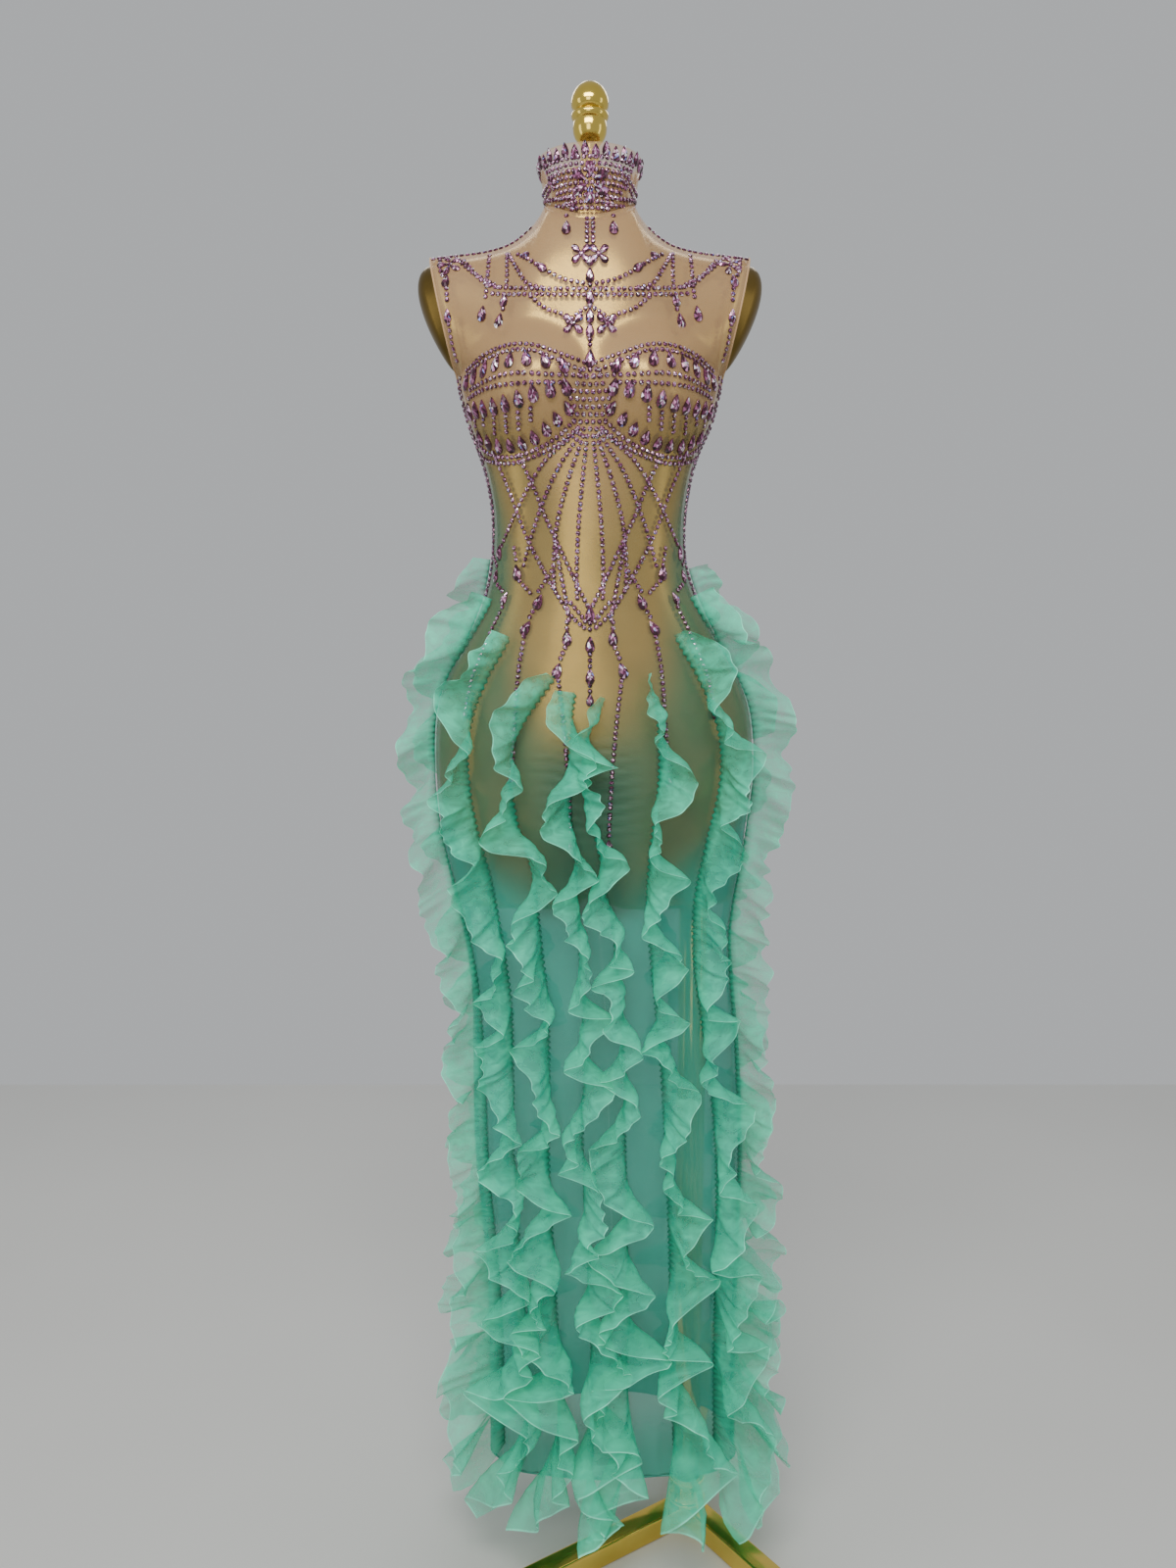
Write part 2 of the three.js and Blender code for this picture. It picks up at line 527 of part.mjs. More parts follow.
// One ring of the form: front, arm side with its rounded cap, back, other arm side.
function formRing(level) {
  const ring = [];
  const sidePoints = (side) => {
    const [front, back] = [formPoint(side * 90, level), formPoint(side * BACK_EDGE, level)];
    const middle = (ARM_CAP.top + ARM_CAP.bottom) / 2;
    const share = (front.z - middle) / (ARM_CAP.top - middle);
    const round = Math.sqrt(Math.max(1 - share ** 2, 0)) * (1 + ARM_CAP.skew * share);
    const out = level > 0 ? ARM_CAP.out * round : 0;
    return ARM_CAP.places.map((place) => {
      const point = front.clone().lerp(back, (1 + place) / 2);
      point.x += side * out * (1 - ARM_CAP.flat * place ** 2);
      return point;
    });
  };
  for (let column = 0; column <= FRONT_COLUMNS; column += 1) {
    ring.push(formPoint(frontAngle(column), level));
  }
  ring.push(...sidePoints(1));
  for (let column = 0; column <= 2 * BACK_COLUMNS; column += 1) {
    const angle = lerp(BACK_EDGE, 360 - BACK_EDGE, column / (2 * BACK_COLUMNS));
    ring.push(formPoint(angle > 180 ? angle - 360 : angle, level));
  }
  ring.push(...sidePoints(-1).reverse());
  return ring;
}

function dressForm() {
  const bottomLevel = levelAt(FORM.bottom + FORM.edge);
  const rings = levels.filter((level) => level < bottomLevel - 0.01).map(formRing);
  rings.push(formRing(bottomLevel));
  const lowest = rings[rings.length - 1];
  const centre = new THREE.Vector3(between(RINGS, 'centre', FORM.bottom), 5, FORM.bottom);
  [{ share: 0.975, height: 6 }, { share: 0.93, height: 0 }].forEach(({ share, height }) => {
    rings.push(lowest.map((point) => {
      const lower = centre.clone().lerp(point, share);
      lower.z = point.z - FORM.edge + height;
      return lower;
    }));
  });
  const count = lowest.length;
  const points = rings.flat();
  const triangles = [];
  for (let row = 0; row < rings.length - 1; row += 1) {
    for (let column = 0; column < count; column += 1) {
      const [a, d] = [row * count + column, row * count + (column + 1) % count];
      triangles.push(...cell(a, a + count, d + count, d));
    }
  }
  const last = points.length - count;
  points.push(centre);
  for (let column = 0; column < count; column += 1) {
    triangles.push([last + column, points.length - 1, last + (column + 1) % count]);
  }
  addNeck(points, triangles);
  return solid(points, triangles);
}

// The form is a moulded shell. Its hollow opens through the neck's top, where the finial covers it.
function hollowRings() {
  const turns = Array.from({ length: HOLLOW.turns }, (_, step) => 360 / HOLLOW.turns * step - 90);
  const round = ({ height, half, depth }) => turns.map((turn) => new THREE.Vector3(
    TORSO_X + half * Math.sin(degToRad(turn)),
    -depth * Math.cos(degToRad(turn)),
    height,
  ));
  const plate = FORM_NECK.top - HOLLOW.plate;
  const rings = [
    round({ height: FORM_NECK.top, half: HOLLOW.hole, depth: HOLLOW.hole }),
    round({ height: plate, half: HOLLOW.hole, depth: HOLLOW.hole }),
    round({ height: plate, half: HOLLOW.neck, depth: HOLLOW.neck }),
    ...HOLLOW_SHOULDERS.map(round),
  ];
  for (let row = 0; row <= HOLLOW.rows; row += 1) {
    const level = levelAt(lerp(CHEST_Z, HOLLOW.bottom, row / HOLLOW.rows));
    rings.push(turns.map((turn) => {
      const angle = turn > 180 ? turn - 360 : turn;
      return formPoint(angle, level).addScaledVector(outward(formBody, angle, level), -HOLLOW.wall);
    }));
  }
  return rings;
}

// The form's neck rises from its neck line inside the collar to a flat top round the hollow's hole.
function addNeck(points, triangles) {
  const turns = [];
  const [frontStep, backStep] = [180 / FRONT_COLUMNS, 90 / BACK_COLUMNS];
  for (let angle = -NECK.angle; angle < NECK.angle; angle += frontStep) turns.push(angle);
  for (let angle = 180 - NECK.angle; angle < 180 + NECK.angle; angle += backStep) turns.push(angle);
  const rings = [turns.map((angle) => formPoint(angle > 180 ? angle - 360 : angle, 0))];
  const heights = [NECK.back + FORM_NECK.edge, FORM_NECK.top - FORM_NECK.edge, FORM_NECK.top];
  heights.forEach((height, step) => {
    const round = FORM_NECK.radius - (step === 2 ? FORM_NECK.edge : 0);
    rings.push(rings[0].map((point) => {
      const flat = new THREE.Vector3(point.x - TORSO_X, point.y, 0).setLength(round);
      return flat.add(new THREE.Vector3(TORSO_X, 0, height));
    }));
  });
  rings.push(...hollowRings());
  const count = turns.length;
  const first = points.length;
  points.push(...rings.flat());
  for (let row = 0; row < rings.length - 1; row += 1) {
    for (let column = 0; column < count; column += 1) {
      const [a, d] = [first + row * count + column, first + row * count + (column + 1) % count];
      triangles.push(...cell(a, d, d + count, a + count));
    }
  }
  const last = points.length - count;
  points.push(new THREE.Vector3(between(RINGS, 'centre', HOLLOW.bottom), 0, HOLLOW.bottom));
  for (let column = 0; column < count; column += 1) {
    triangles.push([last + column, last + (column + 1) % count, points.length - 1]);
  }
}
addMesh('dress_form', dressForm(), formMaterial);

// ------------------------------------------------------------------ finial, pole, hub and legs
const brassMaterial = new THREE.MeshStandardMaterial({ color: '#d8ad3c', roughness: 0.15, metalness: 1 });
const CLEARANCE = 0.3;

// A turned piece: its outline is radii and heights from the axis at the bottom to it at the top.
function turned(outline, segments) {
  const profile = outline.map(({ radius, height }) => new THREE.Vector2(radius, height));
  const geometry = new THREE.LatheGeometry(profile, segments);
  geometry.deleteAttribute('uv');
  geometry.deleteAttribute('normal');
  const merged = mergeVertices(geometry.rotateX(Math.PI / 2), 1e-4);
  const points = [];
  for (let index = 0; index < merged.attributes.position.count; index += 1) {
    points.push(new THREE.Vector3().fromBufferAttribute(merged.attributes.position, index));
  }
  const triangles = [];
  for (let index = 0; index < merged.index.count; index += 3) {
    triangles.push([0, 1, 2].map((step) => merged.index.getX(index + step)));
  }
  return solid(points, triangles);
}

const finial = addMesh('finial', turned([
  { radius: 0, height: 0 },
  { radius: 10, height: 0 },
  { radius: 10, height: 32 },
  { radius: 16.5, height: 41 },
  { radius: 18.2, height: 50 },
  { radius: 17, height: 57 },
  { radius: 19.7, height: 60 },
  { radius: 19.7, height: 64 },
  { radius: 16.4, height: 67 },
  { radius: 19.7, height: 71 },
  { radius: 19, height: 79 },
  { radius: 15.5, height: 88 },
  { radius: 9, height: 94 },
  { radius: 0, height: 96 },
], 20), brassMaterial);
finial.position.set(TORSO_X, 0, FORM_NECK.top + CLEARANCE);

// The hub is a sleeve welded on the mitred ends of three square tubes, which it joins as stubs.
// The legs lie flat on the floor; a heading is a turn from the front, towards +X.
const POLE = { radius: 16, foot: 30 };
const HUB = {
  stub: 24, foot: 22, rim: 22.5, rimTop: 30, sleeve: 20, top: 58, ring: 22, ringFoot: 52, bore: 16.4,
};
const LEG = { wide: 27, tall: 26, length: 380, corner: 3 };
const LEGS = [
  { name: 'leg_front_left', heading: -57 },
  { name: 'leg_front_right', heading: 36.5 },
  { name: 'leg_back', heading: 170 },
];
function legTube() {
  const { wide, tall, corner, length } = LEG;
  const from = HUB.stub + CLEARANCE;
  const outline = new THREE.Shape();
  outline.moveTo(-wide / 2 + corner, 0);
  outline.lineTo(wide / 2 - corner, 0);
  outline.lineTo(wide / 2, corner);
  outline.lineTo(wide / 2, tall - corner);
  outline.lineTo(wide / 2 - corner, tall);
  outline.lineTo(-wide / 2 + corner, tall);
  outline.lineTo(-wide / 2, tall - corner);
  outline.lineTo(-wide / 2, corner);
  const geometry = new THREE.ExtrudeGeometry(outline, { depth: length - from, bevelEnabled: false });
  return geometry.rotateX(Math.PI / 2).translate(0, -from, 0);
}
LEGS.forEach(({ name, heading }) => {
  addMesh(name, legTube(), brassMaterial).rotation.z = degToRad(heading);
});
const sleeve = toManifold(turned([
  { radius: 0, height: HUB.foot },
  { radius: HUB.rim, height: HUB.foot },
  { radius: HUB.rim, height: HUB.rimTop },
  { radius: HUB.sleeve, height: HUB.rimTop },
  { radius: HUB.sleeve, height: HUB.ringFoot },
  { radius: HUB.ring, height: HUB.ringFoot },
  { radius: HUB.ring, height: HUB.top },
  { radius: HUB.bore, height: HUB.top },
  { radius: HUB.bore, height: POLE.foot },
  { radius: 0, height: POLE.foot },
], 24));
const onFloor = (along, aside, heading) => new THREE.Vector2(along, aside)
  .rotateAround(new THREE.Vector2(), degToRad(heading - 90));
const star = LEGS.flatMap(({ heading }, index) => {
  const half = ((LEGS[(index + 1) % LEGS.length].heading - heading + 360) % 360) / 2;
  return [
    onFloor(HUB.stub, -LEG.wide / 2, heading),
    onFloor(HUB.stub, LEG.wide / 2, heading),
    onFloor(LEG.wide / 2 / Math.sin(degToRad(half)), 0, heading + half),
  ];
});
const stubs = new THREE.ExtrudeGeometry(new THREE.Shape(star), { depth: LEG.tall, bevelEnabled: false });
addMesh('hub', fromManifold(toManifold(stubs).add(sleeve)), brassMaterial);
const pole = addMesh('pole', turned([
  { radius: 0, height: 0 },
  { radius: POLE.radius, height: 0 },
  { radius: POLE.radius, height: FORM.bottom - POLE.foot - 2 * CLEARANCE },
  { radius: 0, height: FORM.bottom - POLE.foot - 2 * CLEARANCE },
], 24), brassMaterial);
pole.position.z = POLE.foot + CLEARANCE;

// ------------------------------------------------------------------ zip, slider and pull tab
const zipMaterial = new THREE.MeshStandardMaterial({ color: '#b9a48c', roughness: 0.6 });

// Points down the closed zip: on the collar, across the neck's corner, then down the back seam.
function zipLine() {
  const line = [];
  for (let step = 0; step <= 5; step += 1) {
    const point = collarPoint(180, lerp(0.88, 0.16, step / 5));
    line.push(point.add(new THREE.Vector3(0, ZIP.lift, 0)));
  }
  const rows = levels.filter((level) => level > ZIP.neckLevel + 0.01 && level < levelAt(ZIP.bottom));
  [ZIP.neckLevel, ...rows, levelAt(ZIP.bottom)].forEach((level) => {
    const { point, out } = onPanel(180, level);
    line.push(point.addScaledVector(out, ZIP.lift));
  });
  return line;
}
function zipCoil() {
  const line = zipLine();
  const sections = line.map((point, index) => {
    const before = line[Math.max(index - 1, 0)];
    const after = line[Math.min(index + 1, line.length - 1)];
    const down = new THREE.Vector3().subVectors(after, before).normalize();
    const out = new THREE.Vector3(0, -down.z, down.y).normalize().multiplyScalar(ZIP.thick);
    const half = new THREE.Vector3(ZIP.wide / 2, 0, 0);
    const corners = [point.clone().sub(half), point.clone().add(half)];
    return [corners[0], corners[1], corners[1].clone().add(out), corners[0].clone().add(out)];
  });
  const points = sections.flat();
  const triangles = [];
  for (let step = 0; step < sections.length - 1; step += 1) {
    for (let corner = 0; corner < 4; corner += 1) {
      const [a, d] = [step * 4 + corner, step * 4 + (corner + 1) % 4];
      triangles.push(...cell(a, a + 4, d + 4, d));
    }
  }
  const end = points.length - 4;
  triangles.push([0, 1, 2], [0, 2, 3], [end, end + 2, end + 1], [end, end + 3, end + 2]);
  return solid(points, triangles);
}
addMesh('zip_coil', zipCoil(), zipMaterial);

// A manifold of a closed three.js geometry, and back.
function toManifold(geometry) {
  const bare = geometry.clone();
  bare.deleteAttribute('normal');
  bare.deleteAttribute('uv');
  const merged = mergeVertices(bare, 1e-4);
  const vertProperties = new Float32Array(merged.attributes.position.array);
  return new wasm.Manifold(new wasm.Mesh({
    numProp: 3,
    vertProperties,
    triVerts: new Uint32Array(merged.index.array),
  }));
}
function fromManifold(manifold) {
  const mesh = manifold.getMesh();
  const geometry = new THREE.BufferGeometry();
  geometry.setAttribute('position', new THREE.Float32BufferAttribute(mesh.vertProperties, 3));
  geometry.setIndex([...mesh.triVerts]);
  return geometry;
}
const block = (x, y, z, cx, cy, cz) => toManifold(new THREE.BoxGeometry(x, y, z).translate(cx, cy, cz));

// The slider sits near the collar's top, and its tab hangs from a barrel between two cheeks.
const SLIDER = { wide: 9, thick: 3, tall: 11, cheek: 1.4, cheekTall: 5, height: 1560, clear: 1.1 };
const TAB = { wide: 6, neck: 4, thick: 1.2, long: 18, barrel: 1.5, eye: 4.6, clear: 0.4 };
const seat = collarPoint(180, (SLIDER.height - NECK.back) / (COLLAR.top - NECK.back));
const sliderFace = seat.y + ZIP.lift + ZIP.thick + SLIDER.clear;
const barrelY = sliderFace + SLIDER.thick + TAB.barrel + TAB.clear;
const cheekX = TAB.eye / 2 + CLEARANCE + SLIDER.cheek / 2;
const cheekDepth = TAB.barrel * 2 + 1.2;
const cheekY = sliderFace + SLIDER.thick + cheekDepth / 2 - 0.2;
const cheeks = [-1, 1].map((side) => block(SLIDER.cheek, cheekDepth, SLIDER.cheekTall,
  TORSO_X + side * cheekX, cheekY, SLIDER.height));
const sliderBody = block(SLIDER.wide, SLIDER.thick, SLIDER.tall, TORSO_X,
  sliderFace + SLIDER.thick / 2, SLIDER.height);
addMesh('zip_slider', fromManifold(sliderBody.add(cheeks[0]).add(cheeks[1])), brassMaterial);

const barrel = toManifold(new THREE.CylinderGeometry(TAB.barrel, TAB.barrel, TAB.eye, 12)
  .rotateZ(Math.PI / 2).translate(TORSO_X, barrelY, SLIDER.height));
const plate = block(TAB.neck, TAB.thick, TAB.long, TORSO_X, barrelY, SLIDER.height - TAB.long / 2);
const handle = block(TAB.wide, TAB.thick, TAB.long * 0.6, TORSO_X, barrelY,
  SLIDER.height - TAB.long * 0.72);
addMesh('zip_pull_tab', fromManifold(barrel.add(plate).add(handle)), brassMaterial);

export default dress;
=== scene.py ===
"""A sleeveless high-neck stage dress of stretch net, dyed from nude to sea green, set with lilac
stones and trimmed with upright organza frills, on a gold dress form and three-legged stand.
Metres, +Z up, the dress faces -Y. Garment sizes are in millimetres and made metres on the mesh."""
import math

import bpy
import numpy as np
from mathutils import Matrix, Vector
from mathutils.bvhtree import BVHTree


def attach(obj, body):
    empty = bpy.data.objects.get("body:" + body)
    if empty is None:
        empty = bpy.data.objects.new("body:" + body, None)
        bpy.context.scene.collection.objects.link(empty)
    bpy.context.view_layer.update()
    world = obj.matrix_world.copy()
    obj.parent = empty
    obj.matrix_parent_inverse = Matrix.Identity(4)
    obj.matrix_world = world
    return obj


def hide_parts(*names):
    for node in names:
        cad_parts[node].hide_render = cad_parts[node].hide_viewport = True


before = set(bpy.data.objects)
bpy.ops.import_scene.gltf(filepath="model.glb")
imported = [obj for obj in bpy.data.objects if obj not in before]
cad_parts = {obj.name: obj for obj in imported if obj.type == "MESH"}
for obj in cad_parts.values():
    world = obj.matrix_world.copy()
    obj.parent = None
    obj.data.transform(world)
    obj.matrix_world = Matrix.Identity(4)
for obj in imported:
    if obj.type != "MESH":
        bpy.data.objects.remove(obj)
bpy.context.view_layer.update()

# ---------------------------------------------------------------- camera
# A hand-held camera at chest height, 1.34 m in front of the dress, tipped a little down so that the
# whole dress is in the frame.
CAMERA_AT = (-0.121, -1.34, 1.086)
CAMERA_TIP = 7.46
camera_data = bpy.data.cameras.new("camera")
camera_data.lens = 27.34
camera_data.sensor_width = 36
camera = bpy.data.objects.new("camera", camera_data)
bpy.context.scene.collection.objects.link(camera)
camera.location = CAMERA_AT
camera.rotation_euler = (math.radians(90 - CAMERA_TIP), 0, 0)
bpy.context.scene.camera = camera

# ---------------------------------------------------------------- floor and light
# A pale floor against an even pale grey. Broad soft lamps above, in front, at both sides and behind
# light the dress, and are not seen themselves.
FLOOR = {"half": 3000, "front": -3000, "back": 1400}
MM = 0.001


def nothing_selected():
    """Leaves edit mode and deselects everything, so that an operator acts on what it is meant to."""
    if bpy.context.object and bpy.context.object.mode != "OBJECT":
        bpy.ops.object.mode_set(mode="OBJECT")
    bpy.ops.object.select_all(action="DESELECT")


def set_values(node, values):
    """Sets values on a node's inputs, each named as its socket is, with _ for a space."""
    for name, value in values.items():
        node.inputs[name.replace("_", " ")].default_value = value


def new_material(name, **values):
    """A new node material with values set on its shader, and its nodes and links ready to use."""
    material = bpy.data.materials.new(name)
    material.use_nodes = True
    nodes, links = material.node_tree.nodes, material.node_tree.links
    shader = nodes["Principled BSDF"]
    set_values(shader, values)
    return material, nodes, links, shader


def add_node(nodes, kind, **values):
    """A shader node of a kind, with values set on its inputs."""
    node = nodes.new("ShaderNode" + kind)
    set_values(node, values)
    return node


def colour_ramp(nodes, stops):
    """A colour ramp through stops, each a position and a colour."""
    ramp = nodes.new("ShaderNodeValToRGB")
    elements = ramp.color_ramp.elements
    elements[0].position, elements[0].color = stops[0]
    elements[1].position, elements[1].color = stops[-1]
    for position, colour in stops[1:-1]:
        elements.new(position).color = colour
    return ramp


def join(links, *rows):
    """Links nodes: each row is a node and its output, then a node and its input."""
    for source, output, target, socket in rows:
        links.new(source.outputs[output], target.inputs[socket])


def mesh_piece(name, points, faces, material, smooth=True):
    """An object at the origin from points in millimetres and faces."""
    mesh = bpy.data.meshes.new(name)
    mesh.from_pydata((np.asarray(points) * MM).tolist(), [], faces)
    mesh.materials.append(material)
    mesh.polygons.foreach_set("use_smooth", [smooth] * len(mesh.polygons))
    mesh.update()
    piece = bpy.data.objects.new(name, mesh)
    bpy.context.scene.collection.objects.link(piece)
    return piece


floor_material, nodes, links, shader = new_material("floor", Roughness=0.7)
place = add_node(nodes, "TexCoord")
cloud = add_node(nodes, "TexNoise", Scale=2.0)
tone = colour_ramp(nodes, [(0, (0.60, 0.60, 0.58, 1)), (1, (0.66, 0.66, 0.64, 1))])
join(links, (place, "Object", cloud, "Vector"), (cloud, "Fac", tone, "Fac"),
     (tone, "Color", shader, "Base Color"))
floor_points = [(side * FLOOR["half"], y, 0) for y in (FLOOR["front"], FLOOR["back"]) for side in (-1, 1)]
mesh_piece("floor", floor_points, [(0, 1, 3, 2)], floor_material)


def soft_lamp(name, place, aim, size, power, colour=(1, 1, 1)):
    """An oblong area lamp that looks at a point."""
    data = bpy.data.lights.new(name, "AREA")
    data.shape = "RECTANGLE"
    data.size, data.size_y = size
    data.energy, data.color = power, colour
    lamp = bpy.data.objects.new(name, data)
    lamp.visible_camera = False
    bpy.context.scene.collection.objects.link(lamp)
    lamp.location = place
    lamp.rotation_euler = (Vector(aim) - Vector(place)).to_track_quat("-Z", "Y").to_euler()


soft_lamp("ceiling_lamp", (-0.35, -1.5, 2.5), (-0.12, 0, 1.1), (1.5, 0.6), 38, (1, 0.97, 0.93))
soft_lamp("front_lamp", (-0.5, -2.3, 1.5), (-0.12, 0, 0.8), (0.9, 1.2), 9, (1, 0.98, 0.95))
soft_lamp("left_lamp", (-2.0, -0.7, 1.3), (-0.12, 0, 0.9), (0.5, 1.6), 4, (0.95, 0.98, 1))
soft_lamp("right_lamp", (1.8, -0.6, 1.4), (-0.12, 0, 0.9), (0.4, 1.6), 3, (0.95, 0.98, 1))
soft_lamp("back_lamp", (-0.1, 1.2, 2.4), (-0.12, 0, 1.0), (1.6, 0.5), 8)
world = bpy.data.worlds.new("room")
bpy.context.scene.world = world
world.use_nodes = True
set_values(world.node_tree.nodes["Background"], {"Color": (0.78, 0.80, 0.82, 1), "Strength": 0.62})

# ---------------------------------------------------------------- pole, hub and finial
# Turned and tube parts of the stand, iron with bright yellow brass plate. The pole drops into the
# hub's sleeve, and the finial screws down through the form's neck.
POLE = {"radius": 16, "foot": 30.3, "top": 775.7, "chamfer": 0.6}
# Outlines: radius and height of each ring, from the foot up.
HUB_OUTLINE = [(22, 24), (22.5, 24.6), (22.5, 29), (21.8, 29.8), (20.4, 30.2), (20, 31), (20, 51.4),
               (20.4, 52), (21.6, 52.3), (22, 53), (22, 57), (21.4, 58), (16.9, 58), (16.4, 57.4),
               (16.4, 30)]
FINIAL_FOOT = 1560.3
FINIAL_OUTLINE = [(9.6, 0), (10, 0.4), (10, 26), (10, 32), (12.6, 35.4), (15.6, 39.4), (17.6, 44.4),
                  (18.2, 50), (17.6, 54.4), (17.1, 56.8), (18.4, 58.4), (19.6, 60.2), (19.8, 62),
                  (19.6, 63.8), (18, 65.6), (16.5, 67), (18, 68.6), (19.6, 71), (19.9, 75),
                  (19.3, 79.6), (17.6, 84.4), (14.4, 89.4), (9.6, 93.6), (4.6, 95.5)]
# The dress and its form stand to one side of the pole's axis.
TORSO_X = -119


def turned(name, outline, axis, foot, segments, material):
    """A round piece drawn up from a circle, ring by ring, as on a lathe."""
    nothing_selected()
    start = Vector((axis * MM, 0, (foot + outline[0][1]) * MM))
    bpy.ops.mesh.primitive_circle_add(vertices=segments, radius=outline[0][0] * MM,
                                      fill_type="NOTHING", location=start)
    piece = bpy.context.object
    piece.name = piece.data.name = name
    bpy.ops.object.transform_apply(location=True)
    bpy.ops.object.mode_set(mode="EDIT")
    bpy.ops.mesh.select_all(action="SELECT")
    bpy.ops.mesh.edge_face_add()
    for (radius, height), (wider, higher) in zip(outline, outline[1:]):
        bpy.ops.mesh.extrude_region_move(
            TRANSFORM_OT_translate={"value": (0, 0, (higher - height) * MM)})
        bpy.ops.transform.resize(value=(wider / radius, wider / radius, 1),
                                 center_override=(axis * MM, 0, (foot + higher) * MM))
    bpy.ops.mesh.select_all(action="SELECT")
    bpy.ops.mesh.normals_make_consistent(inside=False)
    bpy.ops.object.mode_set(mode="OBJECT")
    bpy.ops.object.shade_smooth_by_angle(angle=math.radians(50))
    piece.data.materials.append(material)
    return piece


def brass_material(name, colour, dark, rough):
    """Polished plate: a yellow metal with faint cloudy patches and fine rubbing marks."""
    material, nodes, links, shader = new_material(name, Metallic=1.0)
    place = add_node(nodes, "TexCoord")
    patches = add_node(nodes, "TexNoise", Scale=14, Detail=4)
    tint = colour_ramp(nodes, [(0.3, dark), (0.62, colour)])
    gloss = add_node(nodes, "MapRange", To_Min=rough, To_Max=rough + 0.09)
    rubs = add_node(nodes, "TexNoise", Scale=900)
    bump = add_node(nodes, "Bump", Strength=0.03, Distance=0.0002)
    join(links, (place, "Object", patches, "Vector"), (place, "Object", rubs, "Vector"),
         (patches, "Fac", tint, "Fac"), (patches, "Fac", gloss, "Value"),
         (tint, "Color", shader, "Base Color"), (gloss, "Result", shader, "Roughness"),
         (rubs, "Fac", bump, "Height"), (bump, "Normal", shader, "Normal"))
    return material


bright_brass = brass_material("bright_brass", (0.84, 0.62, 0.14, 1), (0.70, 0.50, 0.09, 1), 0.09)
pole_long = POLE["top"] - POLE["foot"]
pole_end = POLE["radius"] - POLE["chamfer"]
pole_outline = [(pole_end, 0), (POLE["radius"], POLE["chamfer"]),
                (POLE["radius"], pole_long - POLE["chamfer"]), (pole_end, pole_long)]
pole = turned("stand_pole", pole_outline, 0, POLE["foot"], 48, bright_brass)
hub = turned("stand_hub", HUB_OUTLINE, 0, 0, 56, bright_brass)
finial = turned("neck_finial", FINIAL_OUTLINE, TORSO_X, FINIAL_FOOT, 48, bright_brass)
for piece, node in ((pole, "pole"), (hub, "hub"), (finial, "finial")):
    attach(piece, "dress_on_stand")
    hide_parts(node)

# ---------------------------------------------------------------- legs
# Three square tubes with rounded corners, mitred and welded to each other under the sleeve, each
# closed at its far end by a moulded plug. A set screw in the sleeve holds the pole.
LEG = {"wide": 27, "tall": 26, "far": 380, "near": 20, "corner": 3.0}
LEG_HEADINGS = {"leg_front_left": -57, "leg_front_right": 36.5, "leg_back": 170}
PLUG = {"proud": 1.6, "rim": 1.2, "deep": 4, "corner": 2}
WELD = {"radius": 1.5, "short": 4, "sunk": 0.4, "lump": 0.22, "lump_rate": 2.4, "wander": 0.35,
        "wander_rate": 0.9}
SCREW = {"radius": 3.2, "root": 2.4, "head": 2.2, "socket": 1.2, "chamfer": 0.8, "out": 2.4,
         "height": 40, "heading": 200, "seat": 19.5}


def select_only(piece):
    """Makes one piece the only one selected, and the active one."""
    nothing_selected()
    bpy.context.view_layer.objects.active = piece
    piece.select_set(True)


def tube_box(name, x, y, z, corner, material):
    """A block between two corners, with the edges that run along Y rounded."""
    nothing_selected()
    middle = [(low + high) / 2 * MM for low, high in (x, y, z)]
    bpy.ops.mesh.primitive_cube_add(size=1, location=middle)
    piece = bpy.context.object
    piece.name = piece.data.name = name
    piece.scale = [(high - low) * MM for low, high in (x, y, z)]
    bpy.ops.object.transform_apply(location=True, scale=True)
    bpy.ops.object.mode_set(mode="EDIT")
    bpy.ops.mesh.select_all(action="DESELECT")
    bpy.ops.object.mode_set(mode="OBJECT")
    for edge in piece.data.edges:
        first, last = (piece.data.vertices[index].co for index in edge.vertices)
        edge.select = abs(first[1] - last[1]) > 1e-6
    bpy.ops.object.mode_set(mode="EDIT")
    bpy.ops.mesh.bevel(offset=corner * MM, segments=4, affect="EDGES")
    bpy.ops.object.mode_set(mode="OBJECT")
    bpy.ops.object.shade_smooth_by_angle(angle=math.radians(35))
    piece.data.materials.append(material)
    return piece


plug_material, nodes, links, shader = new_material("leg_plug", Base_Color=(0.02, 0.02, 0.02, 1))
place = add_node(nodes, "TexCoord")
grit = add_node(nodes, "TexNoise", Scale=1500)
matt = add_node(nodes, "MapRange", To_Min=0.35, To_Max=0.6)
join(links, (place, "Object", grit, "Vector"), (grit, "Fac", matt, "Value"),
     (matt, "Result", shader, "Roughness"))


def mitre(leg, sides):
    """Cuts a tube's near end along the planes half-way to its neighbours, and closes the cut."""
    select_only(leg)
    bpy.ops.object.mode_set(mode="EDIT")
    for sign, half_gap in sides:
        bpy.ops.mesh.select_all(action="SELECT")
        turn = math.radians(half_gap)
        bpy.ops.mesh.bisect(plane_co=(0, 0, 0), plane_no=(sign * math.cos(turn), math.sin(turn), 0),
                            use_fill=True, clear_outer=True)
    bpy.ops.object.mode_set(mode="OBJECT")
    bpy.ops.object.shade_smooth_by_angle(angle=math.radians(35))


